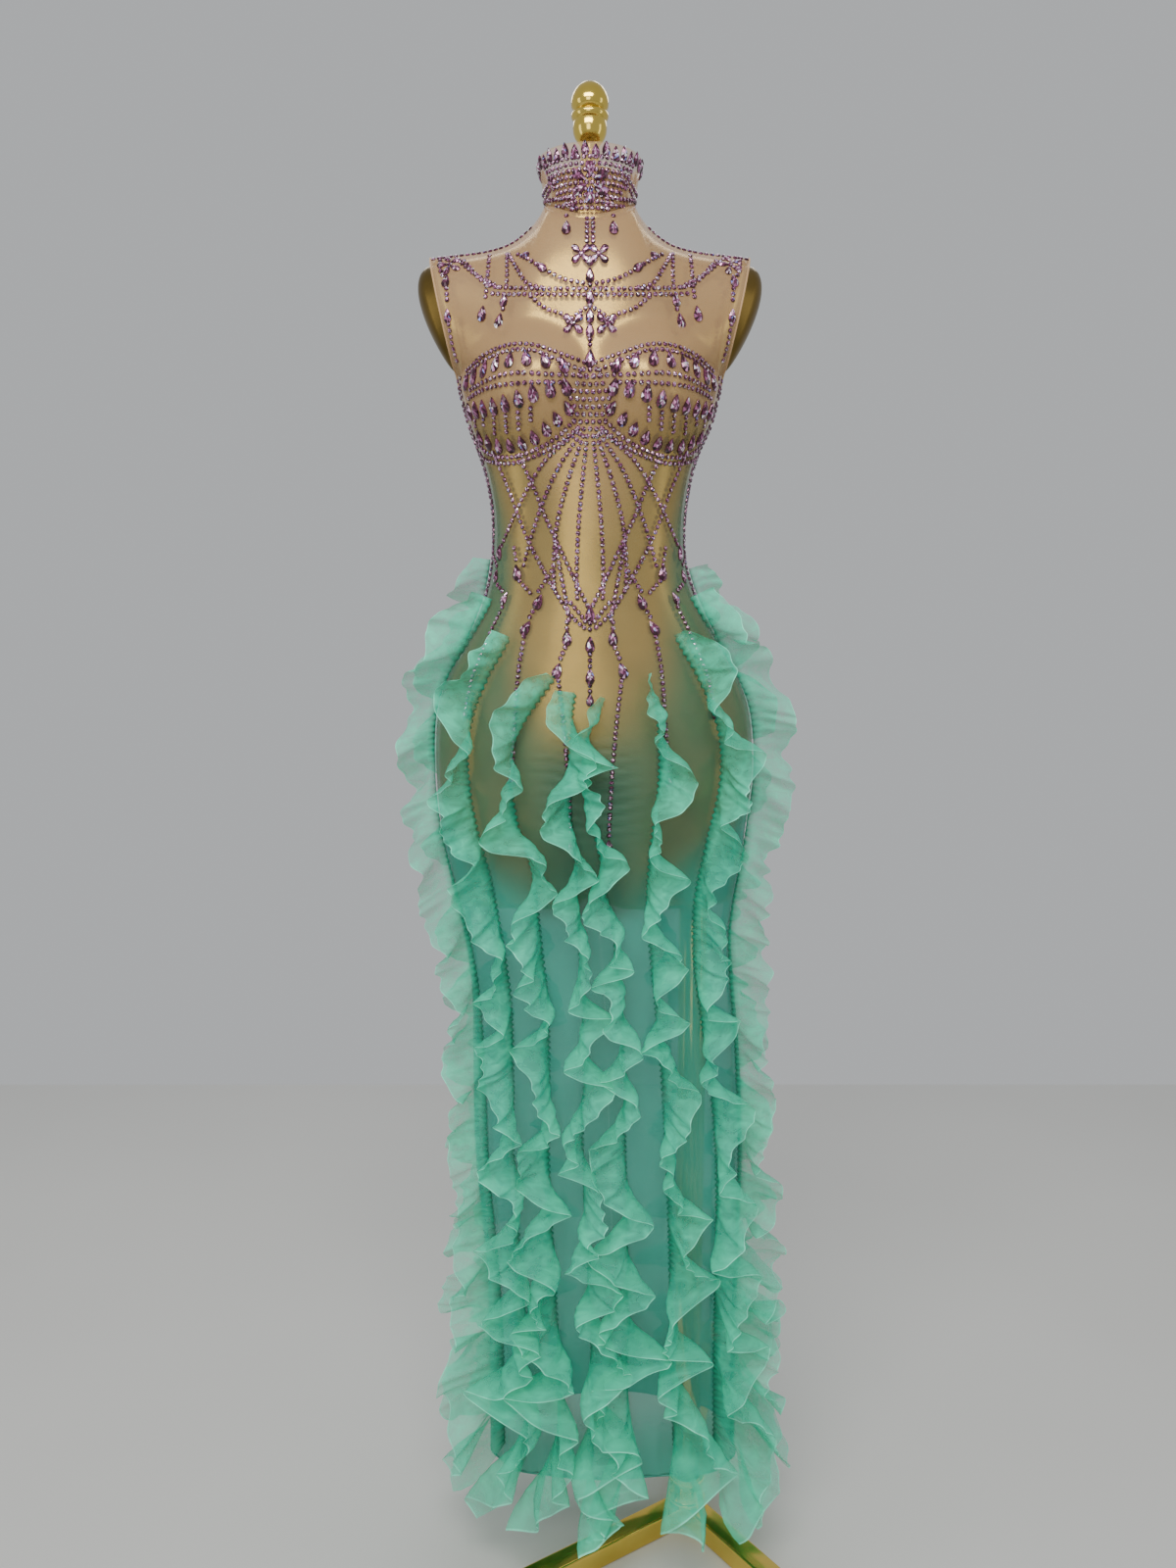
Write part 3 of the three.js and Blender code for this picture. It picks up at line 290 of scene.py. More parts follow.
def weld_bead(name, heading, reach):
    """A lumpy bead of weld up the corner where two tubes meet."""
    nothing_selected()
    bpy.ops.mesh.primitive_cylinder_add(vertices=10, radius=WELD["radius"] * MM, end_fill_type="TRIFAN",
                                        depth=(LEG["tall"] - WELD["short"]) * MM)
    bead = bpy.context.object
    bead.name = bead.data.name = name
    bpy.ops.object.mode_set(mode="EDIT")
    bpy.ops.mesh.select_all(action="SELECT")
    bpy.ops.mesh.bisect(plane_co=(0, 0, 0), plane_no=(0, 0, 1))
    bpy.ops.mesh.select_all(action="SELECT")
    bpy.ops.mesh.subdivide(number_cuts=3)
    bpy.ops.object.mode_set(mode="OBJECT")
    for vertex in bead.data.vertices:
        height = vertex.co.z * 1000
        lump = 1 + WELD["lump"] * math.sin(height * WELD["lump_rate"])
        vertex.co.x, vertex.co.y = vertex.co.x * lump, vertex.co.y * lump
        vertex.co.x += WELD["wander"] * MM * math.sin(height * WELD["wander_rate"])
    bead.data.materials.append(bright_brass)
    bpy.ops.object.shade_smooth_by_angle(angle=math.radians(60))
    move = Matrix.Translation((0, -reach * MM, LEG["tall"] / 2 * MM))
    bead.data.transform(Matrix.Rotation(math.radians(heading), 4, "Z") @ move)
    return bead


headings = list(LEG_HEADINGS.items())
for index, (name, heading) in enumerate(headings):
    half = LEG["wide"] / 2
    leg = tube_box(name + "_tube", (-half, half), (-LEG["far"] + PLUG["proud"], LEG["near"]),
                   (0, LEG["tall"]), LEG["corner"], bright_brass)
    ahead = (headings[(index + 1) % 3][1] - heading) % 360 / 2
    behind = (heading - headings[index - 1][1]) % 360 / 2
    mitre(leg, ((1, ahead), (-1, behind)))
    corner = half / math.sin(math.radians(ahead))
    bead = weld_bead(name + "_weld", heading + ahead, corner - WELD["sunk"])
    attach(bead, "dress_on_stand")
    plug = tube_box(name + "_plug", (-half + PLUG["rim"], half - PLUG["rim"]),
                    (-LEG["far"], -LEG["far"] + PLUG["deep"]),
                    (PLUG["rim"], LEG["tall"] - PLUG["rim"]), PLUG["corner"], plug_material)
    turn = Matrix.Rotation(math.radians(heading), 4, "Z")
    for piece in (leg, plug):
        piece.data.transform(turn)
        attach(piece, "dress_on_stand")
    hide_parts(name)

screw_top = SCREW["out"] + SCREW["chamfer"]
screw_outline = [(SCREW["root"], 0), (SCREW["radius"], SCREW["chamfer"]), (SCREW["radius"], SCREW["out"]),
                 (SCREW["head"], screw_top), (SCREW["socket"], screw_top)]
screw = turned("set_screw", screw_outline, 0, 0, 16, bright_brass)
facing = (Matrix.Rotation(math.radians(SCREW["heading"]), 4, "Z")
          @ Matrix.Translation((SCREW["seat"] * MM, 0, SCREW["height"] * MM))
          @ Matrix.Rotation(math.pi / 2, 4, "Y"))
screw.data.transform(facing)
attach(screw, "dress_on_stand")

# ---------------------------------------------------------------- dress form
# A hollow moulded torso with polished gold lacquer: a smooth bust, arm caps in place of arms, a
# shallow valley between the tops of its two legs, and a short neck that the finial closes.
CHEST_Z = 1340
HEM = {"front": 112, "side": 92}
NECK = {"half": 47, "depth": 50, "front": 1508, "side": 1528, "back": 1534, "angle": 45}
SHOULDER = {"half": 170, "height": 1480, "rise": 48, "fall": 28, "tip": 3, "tip_power": 6}
ARMHOLE = {"bottom": 1358, "half": 45}
CUP = {"apart": 69, "height": 1336, "wide": 73, "tall": 66, "out": 30, "power": 1.4, "fade": 3}
WEB = {"half": 34, "above": 10, "tall": 46, "share": 0.3}
FOLD = {"depth": 5, "top": 760, "full": 480}
# The skirt's folds are the sum of two waves: each one's share, count round the body and start.
FOLD_WAVES = [(0.6, 8, 0.6), (0.4, 5, 2)]
BACK_EDGE = 90.001
FORM = {"inset": 3.8, "bottom": 776, "side": 1.5, "armhole_ease": 10, "edge": 14, "tuck": 0.07,
        "middle_back": 5, "first_level": 0.012, "last_yoke_level": 0.98}
FORM_ROWS = {"yoke": 44, "body": 130, "half_round": 97, "cap": 13}
# Radius and height of each ring, from the shoulders up and in under the finial.
NECK_OUTLINE = [(47, 1500), (44, 1520), (42, 1532), (41, 1540), (41, 1555), (40, 1558.4), (37.6, 1560),
                (2, 1560)]
ARM_CAP = {"out": 25, "top": 1472, "bottom": 1358, "skew": 0.35, "flat": 0.35, "round": 0.9}
VALLEY = {"top": 860, "half": 26, "deep": 17, "arch": 16}
RING_COLUMNS = {"height": 0, "centre": 1, "half": 2, "front": 3, "back": 4, "power": 5}
# Height, centre across, half width, depth to front and to back, and squareness of the outline.
RINGS = np.array([
    (1340, -119, 141, 86, 92, 2.3), (1302, -119, 131, 84, 90, 2.3), (1273, -120, 119, 82, 86, 2.2),
    (1240, -120, 110, 79, 82, 2.2), (1200, -120, 105, 78, 80, 2.2), (1155, -120, 107, 80, 82, 2.2),
    (1117, -118, 118, 85, 89, 2.2), (1067, -116, 143, 93, 103, 2.2), (1037, -116, 160, 98, 112, 2.2),
    (994, -115, 174, 103, 120, 2.2), (930, -114, 178, 105, 124, 2.2), (868, -115, 173, 103, 118, 2.2),
    (821, -114, 167, 100, 110, 2.2), (782, -113, 160, 97, 104, 2.3), (740, -110, 153, 93, 97, 2.4),
    (680, -104, 151, 89, 92, 2.4), (600, -99, 153, 87, 88, 2.4), (470, -95, 154, 85, 85, 2.4),
    (335, -91, 147, 83, 82, 2.4), (250, -90, 145, 81, 80, 2.4), (90, -89, 146, 80, 78, 2.4),
])


def lerp(low, high, share):
    """The value a share of the way from low to high."""
    return low + (high - low) * share


def smoothstep(value, low, high):
    """0 up to low, 1 from high on, and an easy curve between them."""
    share = np.clip((value - low) / (high - low), 0, 1)
    return share * share * (3 - 2 * share)


def between(heights, values, height):
    """A smooth curve through values at falling heights, read at any array of heights."""
    low = np.clip(np.searchsorted(-heights, -height, side="right") - 1, 0, len(heights) - 2)
    before, after = np.maximum(low - 1, 0), np.minimum(low + 2, len(heights) - 1)
    span = heights[low + 1] - heights[low]
    share = np.clip((height - heights[low]) / span, 0, 1)
    start = (values[low + 1] - values[before]) / (heights[low + 1] - heights[before]) * span
    end = (values[after] - values[low]) / (heights[after] - heights[low]) * span
    square, cube = share ** 2, share ** 3
    return (values[low] * (2 * cube - 3 * square + 1) + start * (cube - 2 * square + share)
            + values[low + 1] * (3 * square - 2 * cube) + end * (cube - square))


def ring_value(key, height):
    """A smooth value between the rings."""
    return between(RINGS[:, RING_COLUMNS["height"]], RINGS[:, RING_COLUMNS[key]], height)


def unit(vectors):
    """Vectors made one long."""
    return vectors / np.maximum(np.linalg.norm(vectors, axis=-1, keepdims=True), 1e-9)


def top_line(angle):
    """The line round the neck and out along the shoulder, where the body ends above."""
    side, is_back = np.sign(angle), np.abs(angle) > 90
    fold = np.where(is_back, 180 - np.abs(angle), np.abs(angle))
    turn = np.radians(np.minimum(fold / NECK["angle"], 1) * 90)
    share = np.clip((fold - NECK["angle"]) / (90 - NECK["angle"]), 0, 1)
    out = np.where(share > 0, lerp(NECK["half"], SHOULDER["half"], share), NECK["half"] * np.sin(turn))
    slope = SHOULDER["rise"] * np.exp((NECK["half"] - out) / SHOULDER["fall"])
    ring_top = lerp(np.where(is_back, NECK["back"], NECK["front"]), NECK["side"], np.sin(turn) ** 2)
    tip = SHOULDER["tip"] * share ** SHOULDER["tip_power"]
    height = np.where(share > 0, SHOULDER["height"] + slope - tip, ring_top)
    depth = NECK["depth"] * np.cos(turn) * np.where(is_back, 1, -1)
    return TORSO_X + side * out, np.where(share > 0, 0, depth), height


def bust_rise(across, height):
    """How far the bust stands out: two cups, and a little net stretched between them."""
    rise = 0
    up = height - CUP["height"]
    for side in (-1, 1):
        far = ((across - side * CUP["apart"]) / CUP["wide"]) ** 2 + (up / CUP["tall"]) ** 2
        rise = rise + np.maximum(1 - far, 0) ** CUP["power"]
    web = np.exp(-((across / WEB["half"]) ** 2) - ((up - WEB["above"]) / WEB["tall"]) ** 2)
    return CUP["out"] * (rise + WEB["share"] * web)


def fold_out(angle, height):
    """Soft upright folds of the skirt below the form."""
    turn = np.radians(angle)
    wave = sum(share * np.cos(count * turn + start) for share, count, start in FOLD_WAVES)
    return FOLD["depth"] * wave * (1 - smoothstep(height, FOLD["full"], FOLD["top"]))


def body_point(angle, level, hole, folds):
    """Points of the body: the level is 0 at the top line, 1 at the chest and 2 at the hem."""
    angle, level = np.broadcast_arrays(np.asarray(angle, float), np.asarray(level, float))
    turn = np.radians(angle)
    across, along = np.sin(turn), np.cos(turn)
    rise = np.pi / 2 * np.maximum(1 - level, 0)
    up, stay = np.sin(rise), np.cos(rise)
    hem = lerp(HEM["side"], HEM["front"], np.abs(along))
    height = np.where(level < 1, CHEST_Z, lerp(CHEST_Z, hem, level - 1))
    power = 2 / ring_value("power", height)
    along_share = np.abs(along) ** power
    facing = np.where(along > 0, -1, 1)
    half = ring_value("half", height)
    out = 1 + fold_out(angle, height) * folds / half
    depth = np.where(along > 0, ring_value("front", height), ring_value("back", height))
    x = ring_value("centre", height) + out * half * np.sign(across) * np.abs(across) ** power
    y = out * facing * depth * along_share
    top_x, top_y, top_z = top_line(angle)
    side_height = np.where(level < 1, lerp(CHEST_Z, SHOULDER["height"] - SHOULDER["tip"], up), height)
    x, y, z = lerp(x, top_x, up), lerp(top_y, y, stay), lerp(height, top_z, up)
    y = y + facing * hole(side_height) * (1 - along_share)
    bust = bust_rise(x - TORSO_X, z) * np.minimum(along_share * CUP["fade"], 1)
    y = y - np.where(along > 0, bust, 0)
    return np.stack([x, y, z], axis=-1)


def armhole(height):
    """The armhole is an oval between its underarm point and the shoulder tip."""
    top = SHOULDER["height"] - SHOULDER["tip"]
    middle = (ARMHOLE["bottom"] + top) / 2
    share = (height - middle) / (top - middle)
    return ARMHOLE["half"] * np.sqrt(np.maximum(1 - share ** 2, 0))


def skin(angle, level):
    """The net's own surface, with its armholes and the skirt's folds."""
    return body_point(angle, level, armhole, 1)


def outward(surface, angle, level):
    """The direction out of a surface, measured on each point's own half where the side is open."""
    angle, level = np.broadcast_arrays(np.asarray(angle, float), np.asarray(level, float))
    step = 0.005
    least_gap = 0.4
    is_back = np.abs(angle) > 90
    is_open = np.abs(surface(np.full_like(angle, 90), level)[..., 1]) > least_gap

    def on_half(turn):
        back_turn = np.sign(angle) * np.maximum(np.abs(turn), BACK_EDGE)
        return np.where(is_open, np.where(is_back, back_turn, np.clip(turn, -90, 90)), turn)

    down = surface(angle, level + step) - surface(angle, np.maximum(level - step, 0))
    across = surface(on_half(angle + 1), level) - surface(on_half(angle - 1), level)
    return unit(np.cross(down, across))


def level_at(height):
    """The level of a height at or below the chest."""
    return 1 + (CHEST_Z - height) / (CHEST_Z - HEM["side"])


def grid_faces(rows, columns, closed=False):
    """Faces of a grid whose rows run down and columns run right, as seen from outside."""
    faces = []
    for row in range(rows - 1):
        for column in range(columns if closed else columns - 1):
            a, d = row * columns + column, row * columns + (column + 1) % columns
            faces.append((a, a + columns, d + columns, d))
    return faces


def form_body(angle, level):
    """The body that the form follows, with narrower armholes and no folds."""
    return body_point(angle, level, lambda height: np.maximum(
        armhole(height) - FORM["armhole_ease"], FORM["side"]), 0)


def form_points(angle, level):
    """The form's surface, inside the net by its inset, with the valley between its legs' tops."""
    point = form_body(angle, level) - FORM["inset"] * outward(form_body, angle, level)
    limit = np.abs(form_body(np.full_like(angle, 90), level)[..., 0] - TORSO_X) - FORM["inset"]
    bounded = np.clip(point[..., 0], TORSO_X - limit, TORSO_X + limit)
    x = np.where(level < 1, bounded, point[..., 0])
    low = 1 - smoothstep(point[..., 2], FORM["bottom"], VALLEY["top"])
    middle = np.exp(-(((x - TORSO_X) / VALLEY["half"]) ** 2))
    y = point[..., 1] - np.sign(point[..., 1]) * VALLEY["deep"] * low * middle
    z = point[..., 2] + VALLEY["arch"] * low ** 2 * middle
    return np.stack([x, y, z], axis=-1)


def cap_points(side, level):
    """The rounded arm cap on one side, from the front edge of the armhole to its back edge."""
    front = form_points(np.array([side * 90.0]), np.array([level]))[0]
    back = form_points(np.array([side * BACK_EDGE]), np.array([level]))[0]
    middle = (ARM_CAP["top"] + ARM_CAP["bottom"]) / 2
    share = (front[2] - middle) / (ARM_CAP["top"] - middle)
    out = ARM_CAP["out"] * math.sqrt(max(1 - share ** 2, 0)) * (1 + ARM_CAP["skew"] * share)
    places = np.linspace(-1, 1, FORM_ROWS["cap"])[1:-1]
    points = [lerp(front, back, (1 + place) / 2) for place in places]
    for point, place in zip(points, places):
        rounding = math.sqrt(max(1 - ARM_CAP["round"] * place ** 4, 0))
        point[0] += side * out * rounding * (1 - ARM_CAP["flat"] * place ** 2)
    return points


def dress_form(material, shaded_cap_material):
    """The closed form: rings from the shoulder line down, with the arm caps and a rounded lower edge."""
    bottom = level_at(FORM["bottom"] + FORM["edge"])
    yoke = np.linspace(FORM["first_level"], FORM["last_yoke_level"], FORM_ROWS["yoke"])
    rows = np.concatenate([yoke, np.linspace(1, bottom, FORM_ROWS["body"])])
    front = np.linspace(-90, 90, FORM_ROWS["half_round"])
    back = np.linspace(BACK_EDGE, 360 - BACK_EDGE, FORM_ROWS["half_round"])
    back = np.where(back > 180, back - 360, back)
    rings = []
    for level in rows:
        ring = list(form_points(front, np.full(front.shape, level)))
        ring += cap_points(1, level)
        ring += list(form_points(back, np.full(back.shape, level)))
        ring += cap_points(-1, level)[::-1]
        rings.append(np.array(ring))
    lowest = rings[-1]
    centre_x = ring_value("centre", np.array(FORM["bottom"]))
    centre = np.array([centre_x, FORM["middle_back"], FORM["bottom"]])
    for turn in np.radians(np.arange(15, 91, 15)):
        lower = lerp(centre, lowest, 1 - FORM["tuck"] * (1 - math.cos(turn)))
        lower[:, 2] = lowest[:, 2] - FORM["edge"] * math.sin(turn)
        rings.append(lower)
    count = len(lowest)
    points = np.concatenate(rings + [centre[None]])
    faces = grid_faces(len(rings), count, closed=True)
    last = (len(rings) - 1) * count
    faces += [(last + i, len(points) - 1, last + (i + 1) % count) for i in range(count)]
    # The top is closed between each front point and its partner behind, and across each cap.
    partner = [len(front) + len(cap_points(1, 1)) + len(back) - 1 - i for i in range(len(front))]
    faces += [(i, i + 1, partner[i + 1], partner[i]) for i in range(len(front) - 1)]
    faces.append(tuple(range(partner[-1], len(front) - 2, -1)))
    faces.append((0, *range(count - 1, partner[0] - 1, -1)))
    piece = mesh_piece("gold_form", points, faces, material)
    piece.data.materials.append(shaded_cap_material)
    # The arm caps' faces take the second material, the darker gold that paints shade on them.
    for index in range((len(rows) - 1) * count):
        column = index % count
        on_body = column < len(front) - 1 or partner[-1] <= column < partner[0]
        piece.data.polygons[index].material_index = 0 if on_body else 1
    return piece


# The arm caps take a darker copy of the form's gold: painted shade and dark reflection on the sides of the
# form.
shaded_cap_gold = brass_material("shaded_cap_gold", (0.20, 0.13, 0.035, 1), (0.13, 0.085, 0.02, 1), 0.28)
form_gold = brass_material("form_gold", (0.52, 0.35, 0.08, 1), (0.38, 0.25, 0.05, 1), 0.2)
form = dress_form(form_gold, shaded_cap_gold)
neck = turned("gold_neck", NECK_OUTLINE, TORSO_X, 0, 72, form_gold)
for piece in (form, neck):
    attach(piece, "dress_on_stand")
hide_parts("dress_form")

# ---------------------------------------------------------------- net panels
# Four-way stretch net, dyed from nude at the chest through sage to sea green at the hem and down
# the sides. A front and two back halves are sewn at the shoulders and sides; the zip joins the back.
NET = {"wall": 0.6, "row_step": 4.2, "yoke_rows": 64, "front_columns": 131, "back_columns": 56}
# Each dye is a colour and the cloth's cover there. Each run is how far down from the chest the next
# dye starts to take over and has taken over, and how far ahead that is at the sides.
DYES = [
    (0.66, 0.42, 0.22, 0.27), (0.42, 0.32, 0.14, 0.21), (0.12, 0.24, 0.14, 0.34), (0.03, 0.44, 0.34, 0.44),
    (0.03, 0.42, 0.32, 0.66),
]
DYE_RUNS = [(20, 200, 300), (290, 420, 310), (500, 585, 100), (1130, 1215, 0)]
DYE_SIDE = {"power": 2.4, "arm": 1250, "behind": -20, "all_behind": 60, "less_behind": 0.6}
# The middle of the hips, over the valley between the form's legs, is made denser where the net is bunched,
# and darker: painted shade of the valley.
SHADE = {"dye": (0.04, 0.16, 0.10, 0.58), "half": 54, "low": 790, "low_fade": 20, "high": 985,
         "high_fade": 70, "most": 0.85}
GATHER = {"low": 835, "high": 1015, "fade": 60, "half": 52, "pitch": 11.5, "deep": 1.5,
          "second": 0.6, "second_pitch": 0.57, "second_bend": 1.7, "bend": 4, "bend_rate": 0.05,
          "drift": 2.5, "drift_rate": 0.045}
UPRIGHT = {"deep": 0.7, "full": 600, "top": 780, "round": 31, "second": 0.7, "second_round": 47,
           "sway": 2.2, "sway_rate": 0.011, "lean_rate": 0.004}
ZIP = {"bottom": 1010, "gap": 1.0}
SEAM = 0.4


def net_material():
    """Sheer net: dye from the cloth's own colours with painted shade on the hips, a fine knit that lets what
    is behind it show.
    """
    material, nodes, links, shader = new_material(
        "dyed_net", Roughness=0.55, Sheen_Weight=0.08, Sheen_Roughness=0.4)
    dye = add_node(nodes, "VertexColor")
    dye.layer_name = "dye"
    place = add_node(nodes, "TexCoord")
    cloud = add_node(nodes, "TexNoise", Scale=9, Detail=5)
    vary = add_node(nodes, "MapRange", To_Min=0.86, To_Max=1.12)
    tone = add_node(nodes, "VectorMath")
    tone.operation = "SCALE"
    knit = add_node(nodes, "TexVoronoi", Scale=1500, Randomness=0.25)
    knit.feature = "DISTANCE_TO_EDGE"
    sheer = add_node(nodes, "MapRange", From_Max=0.5, To_Min=1.07, To_Max=0.93)
    cover = add_node(nodes, "Math")
    cover.operation = "MULTIPLY"
    bump = add_node(nodes, "Bump", Strength=0.03, Distance=0.0001)
    join(links, (place, "Object", cloud, "Vector"), (cloud, "Fac", vary, "Value"),
         (dye, "Color", tone, 0), (vary, "Result", tone, "Scale"),
         (tone, "Vector", shader, "Base Color"), (place, "UV", knit, "Vector"),
         (knit, "Distance", sheer, "Value"), (sheer, "Result", cover, 0), (dye, "Alpha", cover, 1),
         (cover, "Value", shader, "Alpha"), (knit, "Distance", bump, "Height"),
         (bump, "Normal", shader, "Normal"))
    return material


def dye_at(points):
    """The dye and cover at points of the cloth: the dye runs down the dress, ahead at the sides, with painted
    shade over the middle of the hips.
    """
    half = np.maximum(ring_value("half", np.minimum(points[..., 2], CHEST_Z)), 1)
    side = np.clip(np.abs(points[..., 0] - TORSO_X) / half, 0, 1) ** DYE_SIDE["power"]
    behind = smoothstep(points[..., 1], DYE_SIDE["behind"], DYE_SIDE["all_behind"])
    below_arm = 1 - smoothstep(points[..., 2], DYE_SIDE["arm"], CHEST_Z)
    beside = side * below_arm * (1 - DYE_SIDE["less_behind"] * behind)
    dye = np.array(DYES[0])
    for colour, (start, end, lead) in zip(DYES[1:], DYE_RUNS):
        run = CHEST_Z - points[..., 2] + lead * beside
        dye = lerp(dye, np.array(colour), smoothstep(run, start, end)[..., None])
    # Painted shade: a darker, denser colour at the front middle of the hips, in the valley between the form's
    # legs.
    hip_painted_shade = np.exp(-(((points[..., 0] - TORSO_X) / SHADE["half"]) ** 4)) * (points[..., 1] < 0)
    hip_painted_shade = hip_painted_shade * smoothstep(points[..., 2], SHADE["low"] - SHADE["low_fade"], SHADE["low"])
    hip_painted_shade = hip_painted_shade * (1 - smoothstep(points[..., 2], SHADE["high"] - SHADE["high_fade"], SHADE["high"]))
    return lerp(dye, np.array(SHADE["dye"]), SHADE["most"] * hip_painted_shade[..., None])


def set_uv(mesh, u, v):
    """A UV map from one pair of values for each of a mesh's points."""
    corners = np.empty(len(mesh.loops), int)
    mesh.loops.foreach_get("vertex_index", corners)
    pairs = np.stack([u.ravel()[corners], v.ravel()[corners]], axis=-1)
    mesh.uv_layers.new(name="cloth").data.foreach_set("uv", pairs.ravel())


def set_dye(mesh, dye):
    """The dye and cover at each of a mesh's points, which the net's material reads."""
    mesh.color_attributes.new("dye", "FLOAT_COLOR", "POINT").data.foreach_set("color", dye.ravel())


def add_wall(piece):
    """The net's thickness laid on the inner side of a sheet, applied."""
    select_only(piece)
    solid = piece.modifiers.new("wall", "SOLIDIFY")
    solid.thickness = NET["wall"] * MM
    solid.offset = -1
    bpy.ops.object.modifier_apply(modifier=solid.name)


def net_sheet(name, points):
    """A sheet of net from a grid of points, with its UVs in metres, its dye and its thickness."""
    rows, columns = points.shape[:2]
    piece = mesh_piece(name, points.reshape(-1, 3), grid_faces(rows, columns), net_cloth)
    down = np.linalg.norm(np.diff(points, axis=0), axis=-1)
    across = np.linalg.norm(np.diff(points, axis=1), axis=-1)
    v = np.concatenate([np.zeros((1, columns)), np.cumsum(down, axis=0)]) * MM
    u = np.concatenate([np.zeros((rows, 1)), np.cumsum(across, axis=1)], axis=1) * MM
    set_uv(piece.data, u, v)
    set_dye(piece.data, dye_at(points))
    add_wall(piece)
    return piece


def gathers(points):
    """Level creases where the net is pulled across the front of the hips, and fine upright ones below."""
    across, height = points[..., 0] - TORSO_X, points[..., 2]
    band = smoothstep(height, GATHER["low"], GATHER["low"] + GATHER["fade"]) * (
        1 - smoothstep(height, GATHER["high"] - GATHER["fade"], GATHER["high"]))
    middle = np.exp(-((across / GATHER["half"]) ** 4)) * (points[..., 1] < 0)
    bend = GATHER["bend"] * np.sin(across * GATHER["bend_rate"] + 1)
    bend = bend + GATHER["drift"] * np.sin(height * GATHER["drift_rate"])
    ridge = np.sin(2 * np.pi * (height + bend) / GATHER["pitch"])
    second_pitch = GATHER["pitch"] * GATHER["second_pitch"]
    ridge = ridge + GATHER["second"] * np.sin(
        2 * np.pi * (height + GATHER["second_bend"] * bend) / second_pitch + 1)
    turn = np.arctan2(across, -points[..., 1])
    below = 1 - smoothstep(height, UPRIGHT["full"], UPRIGHT["top"])
    sway = UPRIGHT["sway"] * np.sin(height * UPRIGHT["sway_rate"])
    upright = np.sin(UPRIGHT["round"] * turn + sway) + UPRIGHT["second"] * np.sin(
        UPRIGHT["second_round"] * turn + 1 + UPRIGHT["lean_rate"] * height)
    return GATHER["deep"] * ridge * band * middle + UPRIGHT["deep"] * upright * below


def net_panel(name, node, angles, facing):
    """One panel: angles give a row of turns round the body at each level."""
    yoke = 1 - np.linspace(1, 0, NET["yoke_rows"], endpoint=False)
    body = np.linspace(1, 2, int((CHEST_Z - HEM["side"]) / NET["row_step"]))
    rows = np.concatenate([yoke, body])
    turns = np.array([angles(level) for level in rows])
    levels = np.repeat(rows[:, None], turns.shape[1], axis=1)
    points = skin(turns, levels)
    points = points + outward(skin, turns, levels) * gathers(points)[..., None]
    points[..., 1] += facing * SEAM / 2
    piece = net_sheet(name, points)
    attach(piece, "dress_on_stand")
    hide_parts(node)
    return piece


def back_edge(level):
    """Where a back half stops short of the centre line, further along the zip than below it."""
    height = skin(180, level)[2]
    gap = ZIP["gap"] if height > ZIP["bottom"] else SEAM / 2
    half = NECK["half"] if level < 1 else ring_value("half", height)
    power = 1 if level < 1 else ring_value("power", height) / 2
    angle = math.degrees(math.asin((gap / half) ** power))
    return 180 - angle * (lerp(NECK["angle"] / 90, 1, level) if level < 1 else 1)


net_cloth = net_material()
front = net_panel("net_front", "front_panel",
                  lambda level: np.linspace(-90, 90, NET["front_columns"]), -1)
back_left = net_panel("net_back_left", "back_panel_left",
                      lambda level: np.linspace(BACK_EDGE, back_edge(level), NET["back_columns"]), 1)
back_right = net_panel("net_back_right", "back_panel_right",
                       lambda level: np.linspace(-back_edge(level), -BACK_EDGE, NET["back_columns"]), 1)

# The armholes and the hem are bound with a narrow folded strip of the net, stitched down.
BINDING = {"radius": 1.1, "sides": 8, "steps": 60, "hem_steps": 240, "hem_level": 2.0, "cover": 0.6}
# A direction that no edge runs along, from which a round edge's sides are turned.
CROSSWISE = (0.31, 0.11, 0.94)


def cord_points(path, radius, sides, closed):
    """Rings of points round a path, and the faces that join them and close its ends."""
    if closed:
        ahead = unit(np.roll(path, -1, axis=0) - np.roll(path, 1, axis=0))
    else:
        ahead = unit(np.gradient(path, axis=0))
    aside = unit(np.cross(ahead, CROSSWISE))
    other = np.cross(ahead, aside)
    turns = np.linspace(0, 2 * np.pi, sides, endpoint=False)[None, :, None]
    points = path[:, None] + radius * (np.cos(turns) * aside[:, None] + np.sin(turns) * other[:, None])
    faces = grid_faces(len(path), sides, closed=True)
    last = (len(path) - 1) * sides
    if closed:
        faces += [(last + i, i, (i + 1) % sides, last + (i + 1) % sides) for i in range(sides)]
    else:
        faces += [tuple(range(sides)), tuple(last + i for i in range(sides - 1, -1, -1))]
    return points.reshape(-1, 3), faces


def bind_edges():
    """The two armholes' bindings and the hem's, joined as one piece."""
    levels = np.linspace(0.0, 1.0, BINDING["steps"])
    paths = []
    for side in (-1, 1):
        front_edge = skin(np.full(levels.shape, side * 90.0), levels)
        rear_edge = skin(np.full(levels.shape, side * BACK_EDGE), levels)
        paths.append((np.concatenate([front_edge, rear_edge[::-1]]), False))
    turns = np.linspace(-180, 180, BINDING["hem_steps"], endpoint=False)
    paths.append((skin(turns, np.full(turns.shape, BINDING["hem_level"])), True))
    points, faces = [], []
    for path, closed in paths:
        tube, tube_faces = cord_points(path, BINDING["radius"], BINDING["sides"], closed)
        first = sum(len(part) for part in points)
        points.append(tube)
        faces += [tuple(first + index for index in face) for face in tube_faces]
    return np.concatenate(points), faces


bound, bound_faces = bind_edges()
binding = mesh_piece("net_bindings", bound, bound_faces, net_cloth)
binding.data.uv_layers.new(name="cloth")
bound_dye = dye_at(bound)
bound_dye[:, 3] = BINDING["cover"]
set_dye(binding.data, bound_dye)
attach(binding, "dress_on_stand")

# ---------------------------------------------------------------- stand collar
# A close collar of the same net, stiffened by the stones that cover its front. It is sewn on round
# the neck, and opens at the back with the zip.
COLLAR = {"half": 55, "depth": 57, "top": 1576, "gap": 0.6, "rows": 22, "columns": 145}


